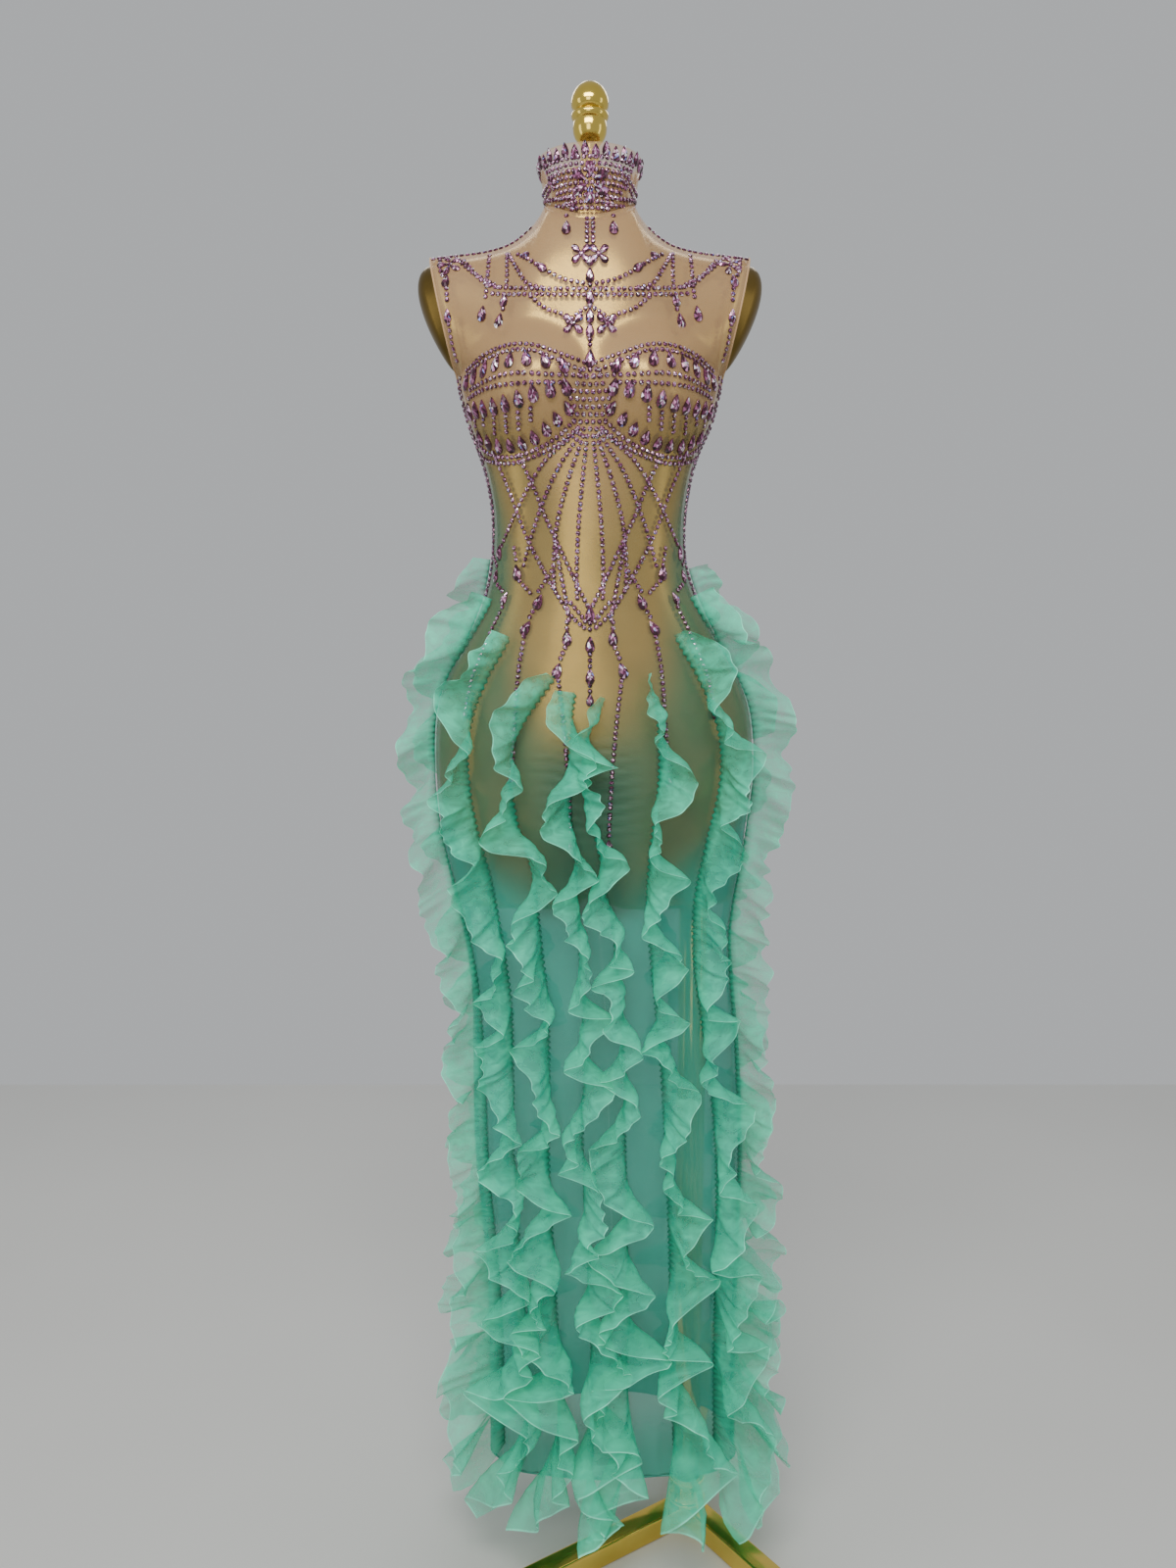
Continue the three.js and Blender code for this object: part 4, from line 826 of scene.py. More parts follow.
def collar_points(turn, share):
    """The collar's outside: the turn is 0 at the front, and the share 0 at its base."""
    angle = np.radians(turn)
    half = lerp(NECK["half"], COLLAR["half"], share)
    depth = lerp(NECK["depth"], COLLAR["depth"], share)
    edge = np.where(np.abs(turn) > 90, NECK["back"], NECK["front"])
    base = lerp(edge, NECK["side"], np.sin(angle) ** 2) + COLLAR["gap"]
    return np.stack([TORSO_X + half * np.sin(angle), -depth * np.cos(angle),
                     lerp(base, COLLAR["top"], share)], axis=-1)


# How far each end of the collar stops short of the centre back, for the zip.
closing = math.degrees(ZIP["gap"] / NECK["half"])
turns, shares = np.meshgrid(np.linspace(closing - 180, 180 - closing, COLLAR["columns"]),
                            np.linspace(1, 0, COLLAR["rows"]))
collar = net_sheet("net_collar", collar_points(turns, shares))
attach(collar, "dress_on_stand")
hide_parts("collar")

# ---------------------------------------------------------------- organza frills
# Bias strips of crisp organza gathered along one edge and sewn down the skirt, free at the other,
# so that the free edge throws itself from side to side. Each leans away from the centre front.
SEAM_HEIGHTS = {"hip": 945, "thigh": 770, "knee": 480, "hem": 118}
# Name, side, height of the top, and the seam's turn round the body at the top, hip, thigh, knee, hem.
FRILLS = [
    ("centre_left", -1, 1014, 5, 7, 5, 8, 7),
    ("centre_right", 1, 1008, 3, -3, 4, 4, 3),
    ("inner_left", -1, 1030, 12, 27, 19, 22, 22),
    ("inner_right", 1, 1032, 19, 20, 17, 20, 24),
    ("front_left", -1, 1072, 36, 47, 38, 40, 40),
    ("front_right", 1, 1074, 36, 47, 38, 44, 46),
    ("side_left", -1, 1114, 60, 84, 66, 64, 62),
    ("side_right", 1, 1116, 62, 84, 70, 72, 70),
    ("side_back_left", -1, 1160, 84, 112, 108, 102, 100),
    ("side_back_right", 1, 1150, 84, 112, 108, 104, 102),
    ("back_left", -1, 1110, 118, 134, 132, 128, 126),
    ("back_right", 1, 1114, 118, 134, 132, 130, 128),
    ("inner_back_left", -1, 1050, 146, 156, 154, 152, 150),
    ("inner_back_right", 1, 1046, 146, 156, 154, 152, 152),
]
# The main folds: how far apart, how they lean from upright and swing to each side, how far the free
# edge trails the seam, and how the strip falls and droops at the hem.
WAVE = {"pitch": 96, "lean": 14, "swing": 56, "at_seam": 0.55, "gain": 0.6, "hang": 40, "fall": 9,
        "fall_power": 1.5, "droop": 50, "droop_from": 130, "drift": 0.8, "drift_height": 61}
# The two centre frills lean the other way below the hips, and close over the centre front.
CENTRE = {"lean": -16, "low": 720, "high": 900}
# Creases from the gathers, and finer ones on them: how far apart, how sharp, and how far they trail.
CREASE = {"apart": 37, "turn": 20, "hang": 26, "fine_apart": 14, "fine_turn": 8, "fine_hang": 11,
          "gain": 2.5}
# At the seam the strip lies clear of the net, puckered by its stitches.
ROOT = {"lift": 1.2, "ease": 1.2, "ease_length": 200, "pucker": 6.8, "pucker_out": 1.5, "fade": 5}
FRILL_WIDTH = {"start": 26, "full": 48, "hem": 78, "taper": 45, "widen_from": 560}
# How much each of a strip's measures wanders down its length, from one knot to the next.
UNEVEN = {"phase": 1.7, "swing": 0.35, "lean": 17, "crease": 2.4, "fine": 2, "sway": 6, "width": 0.1,
          "pucker": 2.5}
KNOT = {"below_hem": 60, "top": 1240, "apart": 38.0}
KNOTS = np.arange(SEAM_HEIGHTS["hem"] - KNOT["below_hem"], KNOT["top"], KNOT["apart"])
ACROSS = np.array([0, 0.04, 0.09, 0.16, 0.26, 0.40, 0.56, 0.74, 0.90, 0.98, 1.0])
FRILL_STEP = 1.6
SEAM_STEP = 5
FRILL_SEED = 40
SHARPNESS = 0.86


def zigzag(phase):
    """A wave with rounded corners and nearly straight runs, as a crisp edge makes."""
    return np.arcsin(SHARPNESS * np.cos(phase)) / math.asin(SHARPNESS)


def frill_points(name, side, top, turns, rng):
    """The fine form of one strip: columns run from its seam to its free edge."""
    heights = np.array([top] + list(SEAM_HEIGHTS.values()), float)
    height = np.linspace(top, SEAM_HEIGHTS["hem"], int((top - SEAM_HEIGHTS["hem"]) / FRILL_STEP))

    def seam(at):
        turn = side * between(heights, np.array(turns, float), np.clip(at, heights[-1], heights[0]))
        return skin(turn, level_at(at)), turn

    def uneven(key):
        return UNEVEN[key] * np.interp(height, KNOTS, rng.uniform(-1, 1, len(KNOTS)))

    def waves(apart):
        return 2 * np.pi * height / apart

    root, turn = seam(height)
    out = outward(skin, turn, level_at(height))
    early = 1 - smoothstep(top - height, 0, ROOT["ease_length"])
    place = root + out * (ROOT["lift"] + ROOT["ease"] * early)[:, None]
    down = unit(seam(height - SEAM_STEP)[0] - seam(height + SEAM_STEP)[0])
    aside = unit(np.cross(out, down) * side)
    drift = WAVE["drift"] * np.sin(height / WAVE["drift_height"] + 1)
    phase = waves(WAVE["pitch"]) + drift + uneven("phase")
    swing = side * WAVE["swing"] * (1 + uneven("swing"))
    usual = CENTRE["lean"] if name.startswith("centre") else WAVE["lean"]
    lean = lerp(usual, WAVE["lean"], smoothstep(height, CENTRE["low"], CENTRE["high"])) + uneven("lean")
    crease = waves(CREASE["apart"]) + uneven("crease")
    fine = waves(CREASE["fine_apart"]) + uneven("fine")
    sway = uneven("sway")
    taper = smoothstep(top - height, 0, FRILL_WIDTH["taper"])
    grow = 1 - smoothstep(height, SEAM_HEIGHTS["hem"], FRILL_WIDTH["widen_from"])
    width = lerp(FRILL_WIDTH["start"], lerp(FRILL_WIDTH["full"], FRILL_WIDTH["hem"], grow), taper)
    width = width * (1 + uneven("width"))
    droop = WAVE["droop"] * (1 - smoothstep(height - SEAM_HEIGHTS["hem"], 0, WAVE["droop_from"]))
    ripple = np.sin(waves(ROOT["pucker"]) + uneven("pucker"))
    points = np.empty((len(height), len(ACROSS), 3))
    for column, share in enumerate(ACROSS):
        before = ACROSS[column - 1] if column else 0
        half_way = (share + before) / 2
        lag = 2 * np.pi * half_way
        waved = zigzag(phase + lag * WAVE["hang"] / WAVE["pitch"])
        waved = swing * waved * (WAVE["at_seam"] + WAVE["gain"] * half_way)
        creased = CREASE["turn"] * zigzag(crease + lag * CREASE["hang"] / CREASE["apart"])
        creased += CREASE["fine_turn"] * zigzag(fine + lag * CREASE["fine_hang"] / CREASE["fine_apart"])
        lean_here = np.radians(lean + waved + creased * min(CREASE["gain"] * half_way, 1))
        stand = out * np.cos(lean_here)[:, None] + aside * np.sin(lean_here)[:, None]
        place = place + stand * (width * (share - before))[:, None]
        along = (sway + WAVE["fall"]) * taper * share ** WAVE["fall_power"] + droop * share
        pucker = ROOT["pucker_out"] * np.exp(-share * width / ROOT["fade"]) * ripple
        points[:, column] = place + down * along[:, None] + aside * pucker[:, None]
    return points


# Stops across a strip from its seam to its free edge: the colour, and how much it covers. Near the seam the
# colour runs to near black, painted shade in the gathers, while the denser cover there is the gathered
# cloth's own; the lighter free edge is its hem.
ORGANZA_TONES_AND_SEAM_SHADE = [(0, (0.008, 0.13, 0.08, 1)), (0.06, (0.02, 0.30, 0.18, 1)), (0.2, (0.045, 0.64, 0.40, 1)),
                 (0.975, (0.06, 0.74, 0.47, 1)), (0.988, (0.20, 0.88, 0.62, 1)), (1, (0.22, 0.88, 0.62, 1))]
ORGANZA_COVER = [(0, 0.95), (0.07, 0.70), (0.24, 0.54), (0.975, 0.50), (0.988, 0.78), (1, 0.85)]


def organza_material():
    """Crisp mint organza: see-through, crinkled from its gathers to its free edge, denser at both, with
    painted shade at its seam and on its crinkles.
    """
    material, nodes, links, shader = new_material("organza", Roughness=0.55, Specular_IOR_Level=0.15)
    place = add_node(nodes, "TexCoord")
    split = add_node(nodes, "SeparateXYZ")
    tone = colour_ramp(nodes, ORGANZA_TONES_AND_SEAM_SHADE)
    cover = colour_ramp(nodes, [(share, (grey, grey, grey, 1)) for share, grey in ORGANZA_COVER])
    stretch = add_node(nodes, "Mapping", Scale=(4, 150, 1))
    crinkle = add_node(nodes, "TexNoise", Scale=1, Detail=4, Distortion=0.6)
    cloud = add_node(nodes, "TexNoise", Scale=22, Detail=2)
    both = add_node(nodes, "Math")
    both.operation = "ADD"
    thin_range = add_node(nodes, "MapRange", From_Min=0.7, From_Max=1.3, To_Min=0.7, To_Max=1.3)
    thin = add_node(nodes, "Math")
    thin.operation = "MULTIPLY"
    thin.use_clamp = True
    # The noise that bumps the crinkles also lightens and darkens the colour: painted light and shade of the
    # crinkles, with a random cloudiness.
    light_range = add_node(nodes, "MapRange", From_Min=0.7, From_Max=1.3, To_Min=0.82, To_Max=1.18)
    light = add_node(nodes, "VectorMath")
    light.operation = "SCALE"
    crushed = add_node(nodes, "Bump", Strength=0.5, Distance=0.002)
    join(links, (place, "UV", split, "Vector"), (split, "X", tone, "Fac"), (split, "X", cover, "Fac"),
         (place, "UV", stretch, "Vector"), (stretch, "Vector", crinkle, "Vector"),
         (place, "Object", cloud, "Vector"), (crinkle, "Fac", both, 0), (cloud, "Fac", both, 1),
         (both, "Value", thin_range, "Value"), (both, "Value", light_range, "Value"),
         (cover, "Color", thin, 0), (thin_range, "Result", thin, 1), (thin, "Value", shader, "Alpha"),
         (tone, "Color", light, 0), (light_range, "Result", light, "Scale"),
         (light, "Vector", shader, "Base Color"), (both, "Value", crushed, "Height"),
         (crushed, "Normal", shader, "Normal"))
    return material


organza = organza_material()
for index, (name, side, top, *turns) in enumerate(FRILLS):
    points = frill_points(name, side, top, turns, np.random.default_rng(FRILL_SEED + index))
    rows, columns = points.shape[:2]
    faces = grid_faces(rows, columns)
    if side < 0:
        faces = [face[::-1] for face in faces]
    frill = mesh_piece("organza_frill_" + name, points.reshape(-1, 3), faces, organza)
    set_uv(frill.data, np.tile(ACROSS, rows), np.repeat(np.arange(rows) * FRILL_STEP * MM, columns))
    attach(frill, "dress_on_stand")
    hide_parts("frill_" + name)

# ---------------------------------------------------------------- stones
# Foiled glass stones with flat backs, glued to the net: rounds in rows and strands, and pear drops.
# One round and one pear are cut, then set wherever the layout puts them.
ROUND = {"radius": 2.6, "sides": 8, "base": 0.4, "girdle": 1.0, "top": 1.9, "table": 0.5}
PEAR = {"half": 5.8, "tall": 8.8, "sides": 12, "narrow": 0.72, "power": 1.5, "widen": 1.12, "base": 0.5,
        "girdle": 1.4, "top": 3.3, "table": 0.52}
# Shares of the outline at the flat back and over the girdle, and how the table domes.
CUT = {"back": 0.94, "crown": 0.97, "dome": 1.1}
# Each facet's colour, with its share of the crown and of the table: the plum and lilac ones are the stone's
# own, the near-black one a painted dark reflection, the white and blue ones painted glints.
FACET_TINTS_AND_GLINTS = [
    ((0.045, 0.006, 0.02), 0.52, 0.26), ((0.16, 0.035, 0.09), 0.27, 0.25), ((0.42, 0.14, 0.31), 0.12, 0.22),
    ((0.74, 0.42, 0.68), 0.05, 0.14), ((1.0, 0.93, 1.0), 0.03, 0.11), ((0.30, 0.34, 0.95), 0.01, 0.02),
]


def cut_stone(outline, sizes):
    """A stone's points and faces, a flat back, a girdle, a crown of facets and a table, and its sides."""
    ring = np.asarray(outline, float)
    count = len(ring)
    levels = [(CUT["back"], 0.0), (1.0, sizes["base"]), (CUT["crown"], sizes["girdle"]),
              (sizes["table"], sizes["top"])]
    rings = [np.column_stack([ring * share, np.full(count, height)]) for share, height in levels]
    points = np.concatenate(rings + [[(0, 0, sizes["top"] * CUT["dome"])]])
    faces = []
    for row in range(len(levels) - 1):
        for i in range(count):
            a, b = row * count + i, row * count + (i + 1) % count
            if row == len(levels) - 2:
                faces += [(a, b, b + count), (a, b + count, a + count)]
            else:
                faces.append((a, b, b + count, a + count))
    faces.append(tuple(range(count))[::-1])
    last = (len(levels) - 1) * count
    faces += [(last + i, last + (i + 1) % count, last + count) for i in range(count)]
    return points, faces, count


def round_turns(sides, start=0.0):
    """Turns evenly round an outline, from a start."""
    return [2 * math.pi * i / sides + start for i in range(sides)]


round_outline = [(ROUND["radius"] * math.cos(turn), ROUND["radius"] * math.sin(turn))
                 for turn in round_turns(ROUND["sides"])]
pear_outline = []
for turn in round_turns(PEAR["sides"], -math.pi / 2):
    narrow = 1 - PEAR["narrow"] * ((1 + math.sin(turn)) / 2) ** PEAR["power"]
    pear_outline.append((PEAR["half"] * math.cos(turn) * narrow * PEAR["widen"],
                         PEAR["tall"] * math.sin(turn)))
round_stone = cut_stone(round_outline, ROUND)
pear_stone = cut_stone(pear_outline, PEAR)

stone_glass, nodes, links, shader = new_material(
    "lilac_stone", Metallic=0.5, Coat_Weight=0.6, Coat_Roughness=0.03)
facet = add_node(nodes, "VertexColor")
facet.layer_name = "facet"
place = add_node(nodes, "TexCoord")
glint = add_node(nodes, "TexNoise", Scale=700)
polish = add_node(nodes, "MapRange", To_Min=0.04, To_Max=0.18)
join(links, (place, "Object", glint, "Vector"), (glint, "Fac", polish, "Value"),
     (polish, "Result", shader, "Roughness"), (facet, "Color", shader, "Base Color"))


class Setting:
    """Casts stones onto one piece of cloth, and keeps where each one lies."""

    CAST_FROM = 0.4
    CURVE_STEPS = 40
    CLUSTER_MIDDLE = 1.2

    def __init__(self, cloth):
        self.tree = BVHTree.FromObject(cloth, bpy.context.evaluated_depsgraph_get())
        self.rounds, self.pears = [], []

    def cast(self, start, way):
        """The cloth's point and outward direction where a line first meets it."""
        hit = self.tree.ray_cast(start, way)
        return (np.array(hit[0]) * 1000, np.array(hit[1])) if hit[0] else None

    def front(self, across, height):
        """The same, straight behind a place on the front view."""
        start = Vector(((TORSO_X + across) * MM, -self.CAST_FROM, height * MM))
        return self.cast(start, Vector((0, 1, 0)))

    def turned(self, turn, height):
        """The same, straight in towards the body's axis from a turn round it."""
        angle = math.radians(turn)
        way = Vector((math.sin(angle), -math.cos(angle), 0))
        return self.cast(Vector((TORSO_X * MM, 0, height * MM)) + way * self.CAST_FROM, -way)

    def curve(self, places, look):
        """Points and directions close together along a smooth curve through places."""
        places = np.array(places, float)
        ends = np.concatenate([[2 * places[0] - places[1]], places, [2 * places[-1] - places[-2]]])
        line = []
        for i in range(1, len(ends) - 2):
            for t in np.linspace(0, 1, self.CURVE_STEPS, endpoint=i == len(ends) - 3):
                p0, p1, p2, p3 = ends[i - 1:i + 3]
                at = 0.5 * (2 * p1 + (p2 - p0) * t + (2 * p0 - 5 * p1 + 4 * p2 - p3) * t ** 2
                            + (3 * p1 - p0 - 3 * p2 + p3) * t ** 3)
                found = look(*at)
                if found:
                    line.append(found)
        return line

    def strand(self, places, pitch=6.1, look=None, mirror=True):
        """Rounds set a pitch apart along a curve, and its mirror image."""
        look = look or self.front
        for side in (1, -1) if mirror else (1,):
            line = self.curve([(side * a, b) for a, b in places], look)
            gone, last = pitch, line[0][0]
            for (point, out), (ahead, _) in zip(line, line[1:] + line[-1:]):
                gone += np.linalg.norm(point - last)
                last = point
                if gone >= pitch:
                    self.rounds.append((point, out, ahead - point, 1.0))
                    gone -= pitch

    def pear(self, across, height, point_at=None, size=1.0, look=None, mirror=True):
        """A pear drop whose point is turned towards a place, or straight up."""
        look = look or self.front
        for side in (1, -1) if mirror and across else (1,):
            found = look(side * across, height)
            if not found:
                continue
            toward = np.array([0, 0, 1.0])
            if point_at:
                toward = np.array([side * (point_at[0] - across), 0, point_at[1] - height], float)
            self.pears.append((found[0], found[1], toward, size))

    def pear_row(self, places, count, point_at=None, size=1.0):
        """Pears spread evenly along a curve."""
        line = self.curve(places, self.front)
        points = np.array([p for p, _ in line])
        run = np.concatenate([[0], np.cumsum(np.linalg.norm(np.diff(points, axis=0), axis=1))])
        for share in np.linspace(0, 1, count):
            i = int(np.argmin(np.abs(run - share * run[-1])))
            self.pear(line[i][0][0] - TORSO_X, line[i][0][2], point_at, size)

    def cluster(self, across, height, count, reach, size=1.0, mirror=True):
        """A rosette: a ring of pears that point inwards, about a round."""
        for side in (1, -1) if mirror and across else (1,):
            for turn in round_turns(count, math.pi / count):
                found = self.front(side * across + reach * math.cos(turn), height + reach * math.sin(turn))
                if found:
                    away = np.array([math.cos(turn), 0, math.sin(turn)])
                    self.pears.append((found[0], found[1], -away, size))
            found = self.front(side * across, height)
            if found:
                self.rounds.append((found[0], found[1], np.array([1.0, 0, 0]), self.CLUSTER_MIDDLE))


def set_stones(name, stones, stone, rng):
    """One joined mesh of copies of a stone, each facet's colour drawn for its place on the stone: the stone's
    own tints, painted glints and painted dark reflections.
    """
    shape, faces, around = stone
    points, every, colours = [], [], []
    colour_of, crown, table = zip(*FACET_TINTS_AND_GLINTS)
    for number, (place, out, toward, size) in enumerate(stones):
        up = unit(toward - out * np.dot(toward, out))
        right = np.cross(up, out)
        points.append(place + size * (shape @ np.stack([right, up, out])))
        every += [tuple(index + number * len(shape) for index in face) for face in faces]
        picks = rng.choice(len(crown), len(faces), p=crown)
        # The sides below the crown get only the two darkest colours, painted shade, and the table has its own
        # shares.
        picks[: 2 * around] = np.minimum(picks[: 2 * around], 1)
        picks[-around:] = rng.choice(len(table), around, p=table)
        for face, pick in zip(faces, picks):
            colours += [(*colour_of[pick], 1)] * len(face)
    piece = mesh_piece(name, np.concatenate(points), every, stone_glass, smooth=False)
    layer = piece.data.color_attributes.new("facet", "FLOAT_COLOR", "CORNER")
    layer.data.foreach_set("color", np.array(colours, float).ravel())
    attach(piece, "dress_on_stand")


# The bodice's layout: edges and swags on the yoke, rows over the cups, a fan of strands from a
# close star between them that crosses into diamonds at the waist and ends in drops on the hips.
bodice = Setting(front)
bodice.strand([(3, 1500), (3, 1474)], pitch=5.5)
bodice.cluster(9, 1462, 4, 6.5, 0.72)
bodice.pear(0, 1455, (0, 1470), 0.7)
bodice.pear(0, 1440, size=0.9)
bodice.strand([(0, 1430), (0, 1426)])
bodice.pear(0, 1418, size=0.9)
bodice.strand([(0, 1409), (14, 1400), (24, 1391)], pitch=5.5)
bodice.pear(0, 1399, size=0.9)
bodice.cluster(17, 1391, 4, 7, 0.74)
bodice.pear(0, 1384, size=0.9)
bodice.strand([(0, 1374), (0, 1366)], pitch=5)
bodice.pear(0, 1355, size=1.15)
bodice.strand([(62, 1500), (84, 1485), (112, 1478), (140, 1475), (166, 1472)])
bodice.strand([(74, 1468), (49, 1449), (28, 1437), (3, 1431)])
bodice.pear(66, 1465, (90, 1478), 0.75)
bodice.pear(50, 1450, (70, 1468), 0.85)
bodice.strand([(132, 1467), (108, 1439), (80, 1431), (45, 1427), (3, 1426)])
bodice.strand([(100, 1427), (78, 1424), (44, 1421), (3, 1420)])
bodice.strand([(60, 1420), (46, 1408), (28, 1401)])
bodice.strand([(84, 1470), (74, 1450), (64, 1434), (48, 1428)])
bodice.strand([(105, 1472), (106, 1440), (108, 1420)])
bodice.pear(111, 1407, (109, 1420), 0.95)
bodice.strand([(86, 1471), (85, 1446), (86, 1428)])
bodice.pear(88, 1419, (86, 1430), 0.85)
bodice.strand([(89, 1410), (91, 1406)])
bodice.pear(93, 1398, (90, 1412), 0.95)
bodice.strand([(140, 1470), (122, 1452), (104, 1440), (92, 1432)])
bodice.cluster(147, 1463, 5, 7.5, 0.7)
bodice.pear(150, 1444, (148, 1460), 0.85)
bodice.strand([(149, 1436), (148, 1418)])
bodice.pear(148, 1408, (148, 1420), 0.85)
bodice.strand([(147, 1400), (144, 1380), (139, 1362)])
bodice.strand([(158, 1473), (156, 1456), (152, 1448)])
bodice.strand([(6, 1351), (32, 1359), (56, 1367), (82, 1369), (108, 1364), (132, 1353)])
bodice.strand([(10, 1343), (34, 1352), (57, 1361), (82, 1363), (108, 1358), (132, 1347)])
bodice.pear_row([(27, 1347), (60, 1353), (96, 1351), (129, 1341)], 8, (78, 1480), 1.05)
bodice.strand([(4, 1338), (40, 1337), (84, 1339), (128, 1332)], pitch=7)
bodice.strand([(30, 1330), (70, 1329), (104, 1329), (129, 1325)], pitch=7)
bodice.pear_row([(24, 1326), (48, 1322), (80, 1313), (106, 1311), (127, 1313)], 9, (72, 1450), 1.1)
bodice.pear_row([(22, 1307), (36, 1295), (52, 1283), (74, 1275), (98, 1276), (117, 1287)], 9, (78, 1400), 1.0)
for across, top, low in ((60, 1306, 1294), (73, 1303, 1287), (86, 1301, 1284), (99, 1301, 1286),
                         (111, 1302, 1293), (121, 1303, 1297)):
    bodice.strand([(across, top), (across, low)])
bodice.strand([(16, 1296), (34, 1280), (58, 1268), (84, 1263), (108, 1270), (124, 1288)])
bodice.strand([(12, 1289), (34, 1273), (58, 1262), (84, 1257), (110, 1264), (126, 1284)])
# The close star, row by row: a strand as short as these sets a single round.
CLOSE_ROUNDS = {"apart": 6.4, "even_start": 0.2, "odd_start": 3.2, "short": 0.4}
for row, (height, reach) in enumerate(((1344, 8), (1337, 14), (1330, 19), (1323, 22), (1316, 23), (1309, 22),
                                       (1302, 20), (1295, 17), (1288, 13), (1281, 9))):
    across = CLOSE_ROUNDS["odd_start"] if row % 2 else CLOSE_ROUNDS["even_start"]
    while across <= reach:
        bodice.strand([(across, height), (across + CLOSE_ROUNDS["short"], height - CLOSE_ROUNDS["short"])],
                      mirror=across > 1)
        across += CLOSE_ROUNDS["apart"]
for places in (
    [(3, 1281), (8, 1235), (12, 1190), (14, 1140), (13, 1112)],
    [(7, 1281), (22, 1240), (34, 1195), (38, 1150), (37, 1125)],
    [(10, 1283), (34, 1248), (52, 1208), (64, 1172), (70, 1150)],
    [(13, 1285), (46, 1258), (70, 1222), (84, 1195), (96, 1170)],
    [(74, 1264), (58, 1230), (46, 1200), (33, 1172), (16, 1136), (2, 1108)],
    [(102, 1270), (86, 1232), (66, 1180), (43, 1136), (22, 1102), (3, 1084)],
    [(122, 1280), (109, 1240), (104, 1206), (106, 1172), (99, 1150)],
    [(36, 1172), (30, 1140), (24, 1108), (22, 1092)],
    [(40, 1145), (54, 1124)],
    [(80, 1170), (77, 1152)],
    [(20, 1112), (10, 1100), (3, 1090)],
):
    bodice.strand(places)
for turn in (80, 86):
    bodice.strand([(turn, 1350), (turn, 1250), (turn + 1, 1180), (turn - 1, 1120)], 6, bodice.turned)
for across, height, point_at, size in (
    (97, 1166, (100, 1190), 0.95), (101, 1141, (98, 1160), 0.85), (77, 1144, (84, 1170), 1.05),
    (91, 1117, (80, 1135), 0.85), (54, 1113, (44, 1136), 1.0), (67, 1086, (56, 1104), 1.0),
    (24, 1076, (24, 1100), 1.0), (0, 1101, (0, 1120), 1.0), (0, 1069, (0, 1090), 1.0),
    (34, 1042, (26, 1068), 1.0), (0, 1036, (0, 1060), 0.95), (0, 1012, (0, 1030), 0.8),
    (133, 996, (128, 1018), 0.85), (83, 926, (80, 950), 0.85), (20, 858, (20, 880), 0.8),
):
    bodice.pear(across, height, point_at, size)
for places in (
    [(99, 1132), (92, 1124)], [(93, 1108), (108, 1077), (124, 1038), (132, 1005)],
    [(74, 1135), (60, 1120)], [(60, 1103), (64, 1096)], [(69, 1077), (75, 1040), (79, 986), (82, 936)],
    [(24, 1092), (24, 1085)], [(26, 1066), (32, 1052)], [(33, 1032), (28, 990), (23, 930), (20, 868)],
    [(0, 1091), (0, 1079)], [(0, 1059), (0, 1046)], [(0, 1027), (0, 1020)],
):
    bodice.strand(places)

# The collar's layout: pears round its top edge, rows that narrow to the front of its base, a star of
# pears on them, and pairs of strands that run round to the back. Across is a turn in degrees here.
COLLAR_ROWS = [(1562, 62), (1556, 58), (1550, 55), (1544, 52), (1538, 47), (1532, 42), (1526, 36),
               (1520, 29), (1514, 22)]
COLLAR_ROUNDS = {"apart": 6.2, "short": 0.5, "strand_pitch": 5.6, "strand_gap": 7}
STAR = {"petals": 6, "height": 1538, "turn": 13, "tall": 12, "proud": 0.8, "size": 0.95}
collar_set = Setting(collar)
for turn in range(-170, 171, 11):
    collar_set.pear(turn, 1568 + (2 if turn % 2 else -1), None, 0.85, collar_set.turned, mirror=False)
for height, reach in COLLAR_ROWS:
    turn = -reach
    while turn <= reach:
        collar_set.strand([(turn, height), (turn + COLLAR_ROUNDS["short"], height)],
                          look=collar_set.turned, mirror=False)
        turn += COLLAR_ROUNDS["apart"]
for angle in round_turns(STAR["petals"], math.pi / STAR["petals"]):
    found = collar_set.turned(STAR["turn"] * math.cos(angle), STAR["height"] + STAR["tall"] * math.sin(angle))
    if found:
        inward = -np.array([math.cos(angle), 0, math.sin(angle)])
        collar_set.pears.append((found[0] + found[1] * STAR["proud"], found[1], inward, STAR["size"]))
for shift in (0, COLLAR_ROUNDS["strand_gap"]):
    for places in ([(38, 1552), (70, 1542), (110, 1546), (174, 1552)], [(20, 1524), (50, 1528), (85, 1536)]):
        lowered = [(turn, height - shift) for turn, height in places]
        collar_set.strand(lowered, COLLAR_ROUNDS["strand_pitch"], collar_set.turned)
for side in (-1, 1):
    bodice.pear(side * 24, 1490, (side * 24, 1510), 0.95, mirror=False)
    bodice.strand([(side * 24, 1504), (side * 24, 1500)], mirror=False)

STONE_SEED = 7
rng = np.random.default_rng(STONE_SEED)
for setting, cloth_name in ((bodice, "bodice"), (collar_set, "collar")):
    set_stones("rounds_on_" + cloth_name, setting.rounds, round_stone, rng)
    set_stones("pears_on_" + cloth_name, setting.pears, pear_stone, rng)

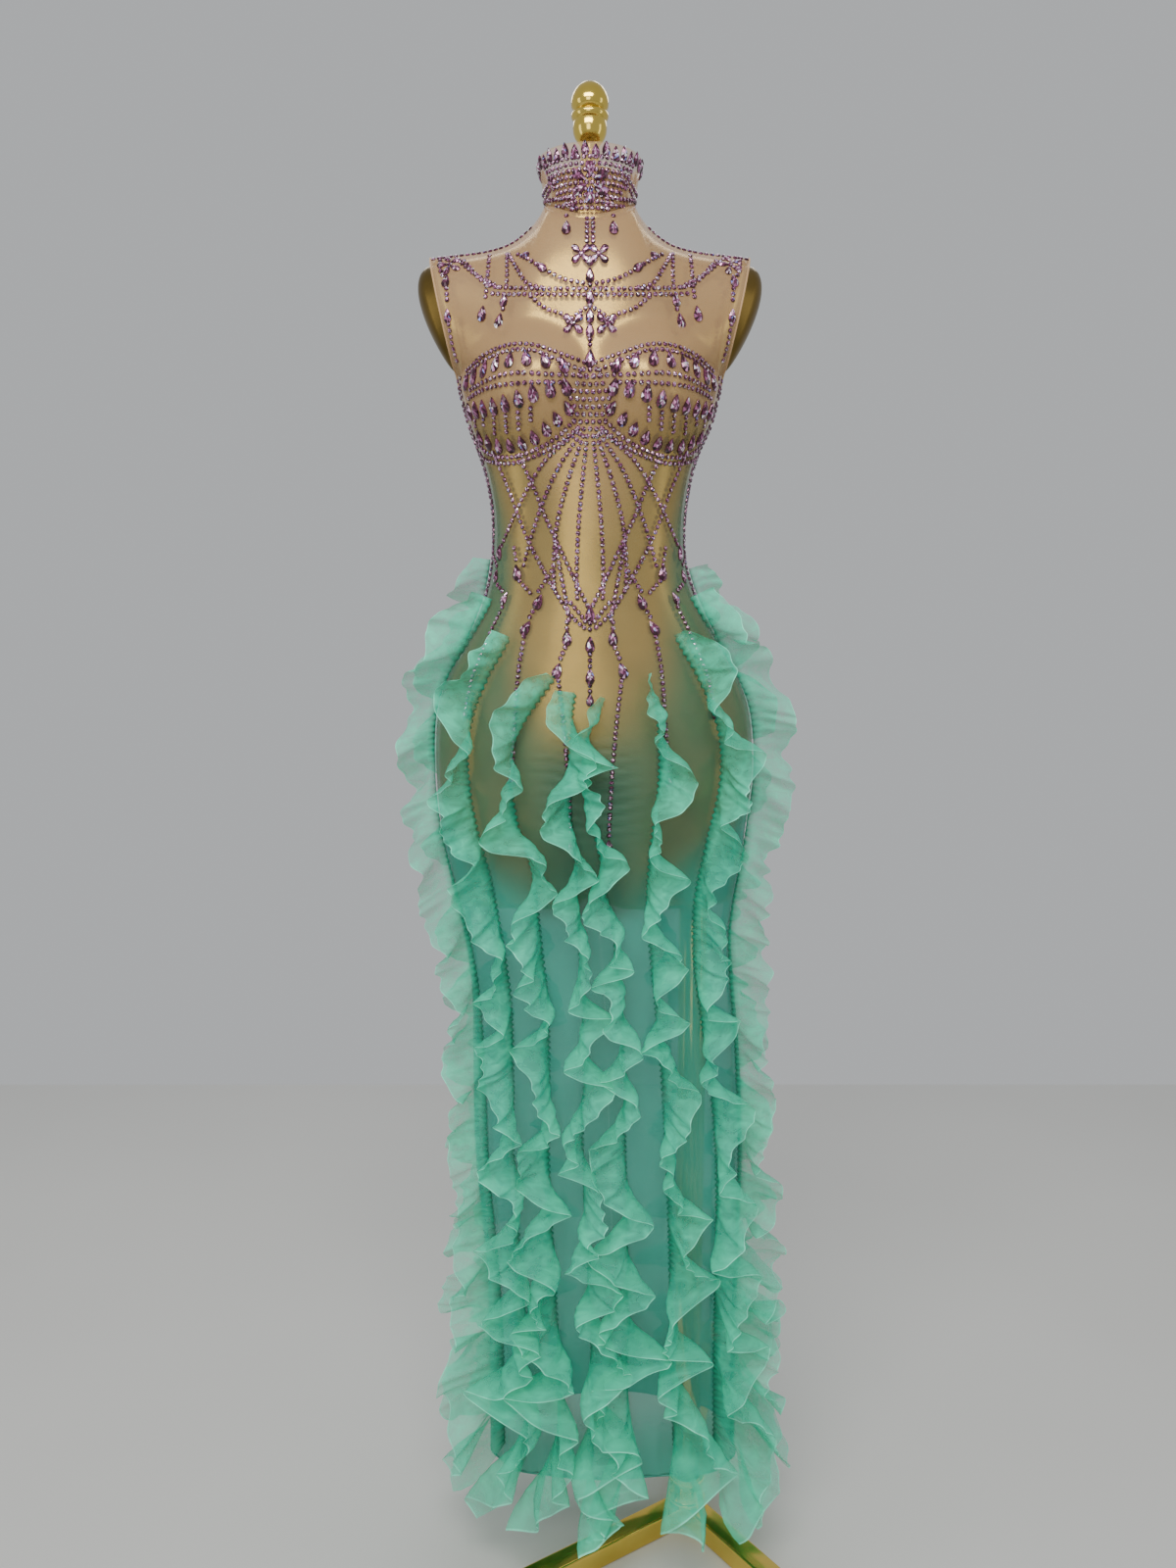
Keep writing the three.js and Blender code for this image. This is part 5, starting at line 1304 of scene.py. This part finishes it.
# ---------------------------------------------------------------- zip, slider and pull tab
# A coil zip sewn into the centre-back seam, from the hip to the collar's top. Its slider and pull tab
# are cast and brass plated, and the tab hangs from the slider.
zip_tape, nodes, links, shader = new_material("zip_coil", Roughness=0.6)
place = add_node(nodes, "TexCoord")
# The coil's colour goes dark and light with the same waves that bump it: painted shade in the grooves between
# its turns.
teeth = add_node(nodes, "TexWave", Scale=110)
teeth.bands_direction = "Z"
tooth_tone_and_groove_shade = colour_ramp(nodes, [(0, (0.30, 0.22, 0.16, 1)), (1, (0.62, 0.48, 0.38, 1))])
bump = add_node(nodes, "Bump", Distance=0.0006)
join(links, (place, "Object", teeth, "Vector"), (teeth, "Fac", tooth_tone_and_groove_shade, "Fac"),
     (tooth_tone_and_groove_shade, "Color", shader, "Base Color"), (teeth, "Fac", bump, "Height"),
     (bump, "Normal", shader, "Normal"))
for node, material in (("zip_coil", zip_tape), ("zip_slider", bright_brass), ("zip_pull_tab", bright_brass)):
    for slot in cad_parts[node].material_slots:
        slot.material = material

# The coil's turns stand out of the tape in two meshed rows.
TOOTH = {"pitch": 2.2, "wide": 3.2, "tall": 1.2, "proud": 0.6, "sunk": 0.4, "taper": 0.7, "aside": 1.1,
         "first": 3, "top": 1572}
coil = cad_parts["zip_coil"]
coil_tree = BVHTree.FromPolygons([coil.matrix_world @ vertex.co for vertex in coil.data.vertices],
                                 [tuple(face.vertices) for face in coil.data.polygons])
teeth_points, teeth_faces = [], []
for number, height in enumerate(np.arange(ZIP["bottom"] + TOOTH["first"], TOOTH["top"], TOOTH["pitch"])):
    aside = TOOTH["aside"] * (1 if number % 2 else -1)
    start = Vector((TORSO_X * MM, Setting.CAST_FROM, height * MM))
    hit = coil_tree.ray_cast(start, Vector((0, -1, 0)))
    if not hit[0]:
        continue
    middle, out = np.array(hit[0]) * 1000, np.array(hit[1])
    down = np.cross(out, [1.0, 0, 0])
    first = len(teeth_points)
    for depth, shrink in ((-TOOTH["sunk"], 1.0), (TOOTH["proud"], TOOTH["taper"])):
        for across, along in ((-1, -1), (1, -1), (1, 1), (-1, 1)):
            teeth_points.append(middle + out * depth + down * along * shrink * TOOTH["tall"] / 2
                                + np.array([aside + across * shrink * TOOTH["wide"] / 2, 0, 0]))
    teeth_faces += [(first + 4, first + 5, first + 6, first + 7), (first + 3, first + 2, first + 1, first)]
    for i in range(4):
        following = (i + 1) % 4
        teeth_faces.append((first + i, first + following, first + 4 + following, first + 4 + i))
zip_teeth = mesh_piece("zip_teeth", teeth_points, teeth_faces, zip_tape, smooth=False)
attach(zip_teeth, "dress_on_stand")
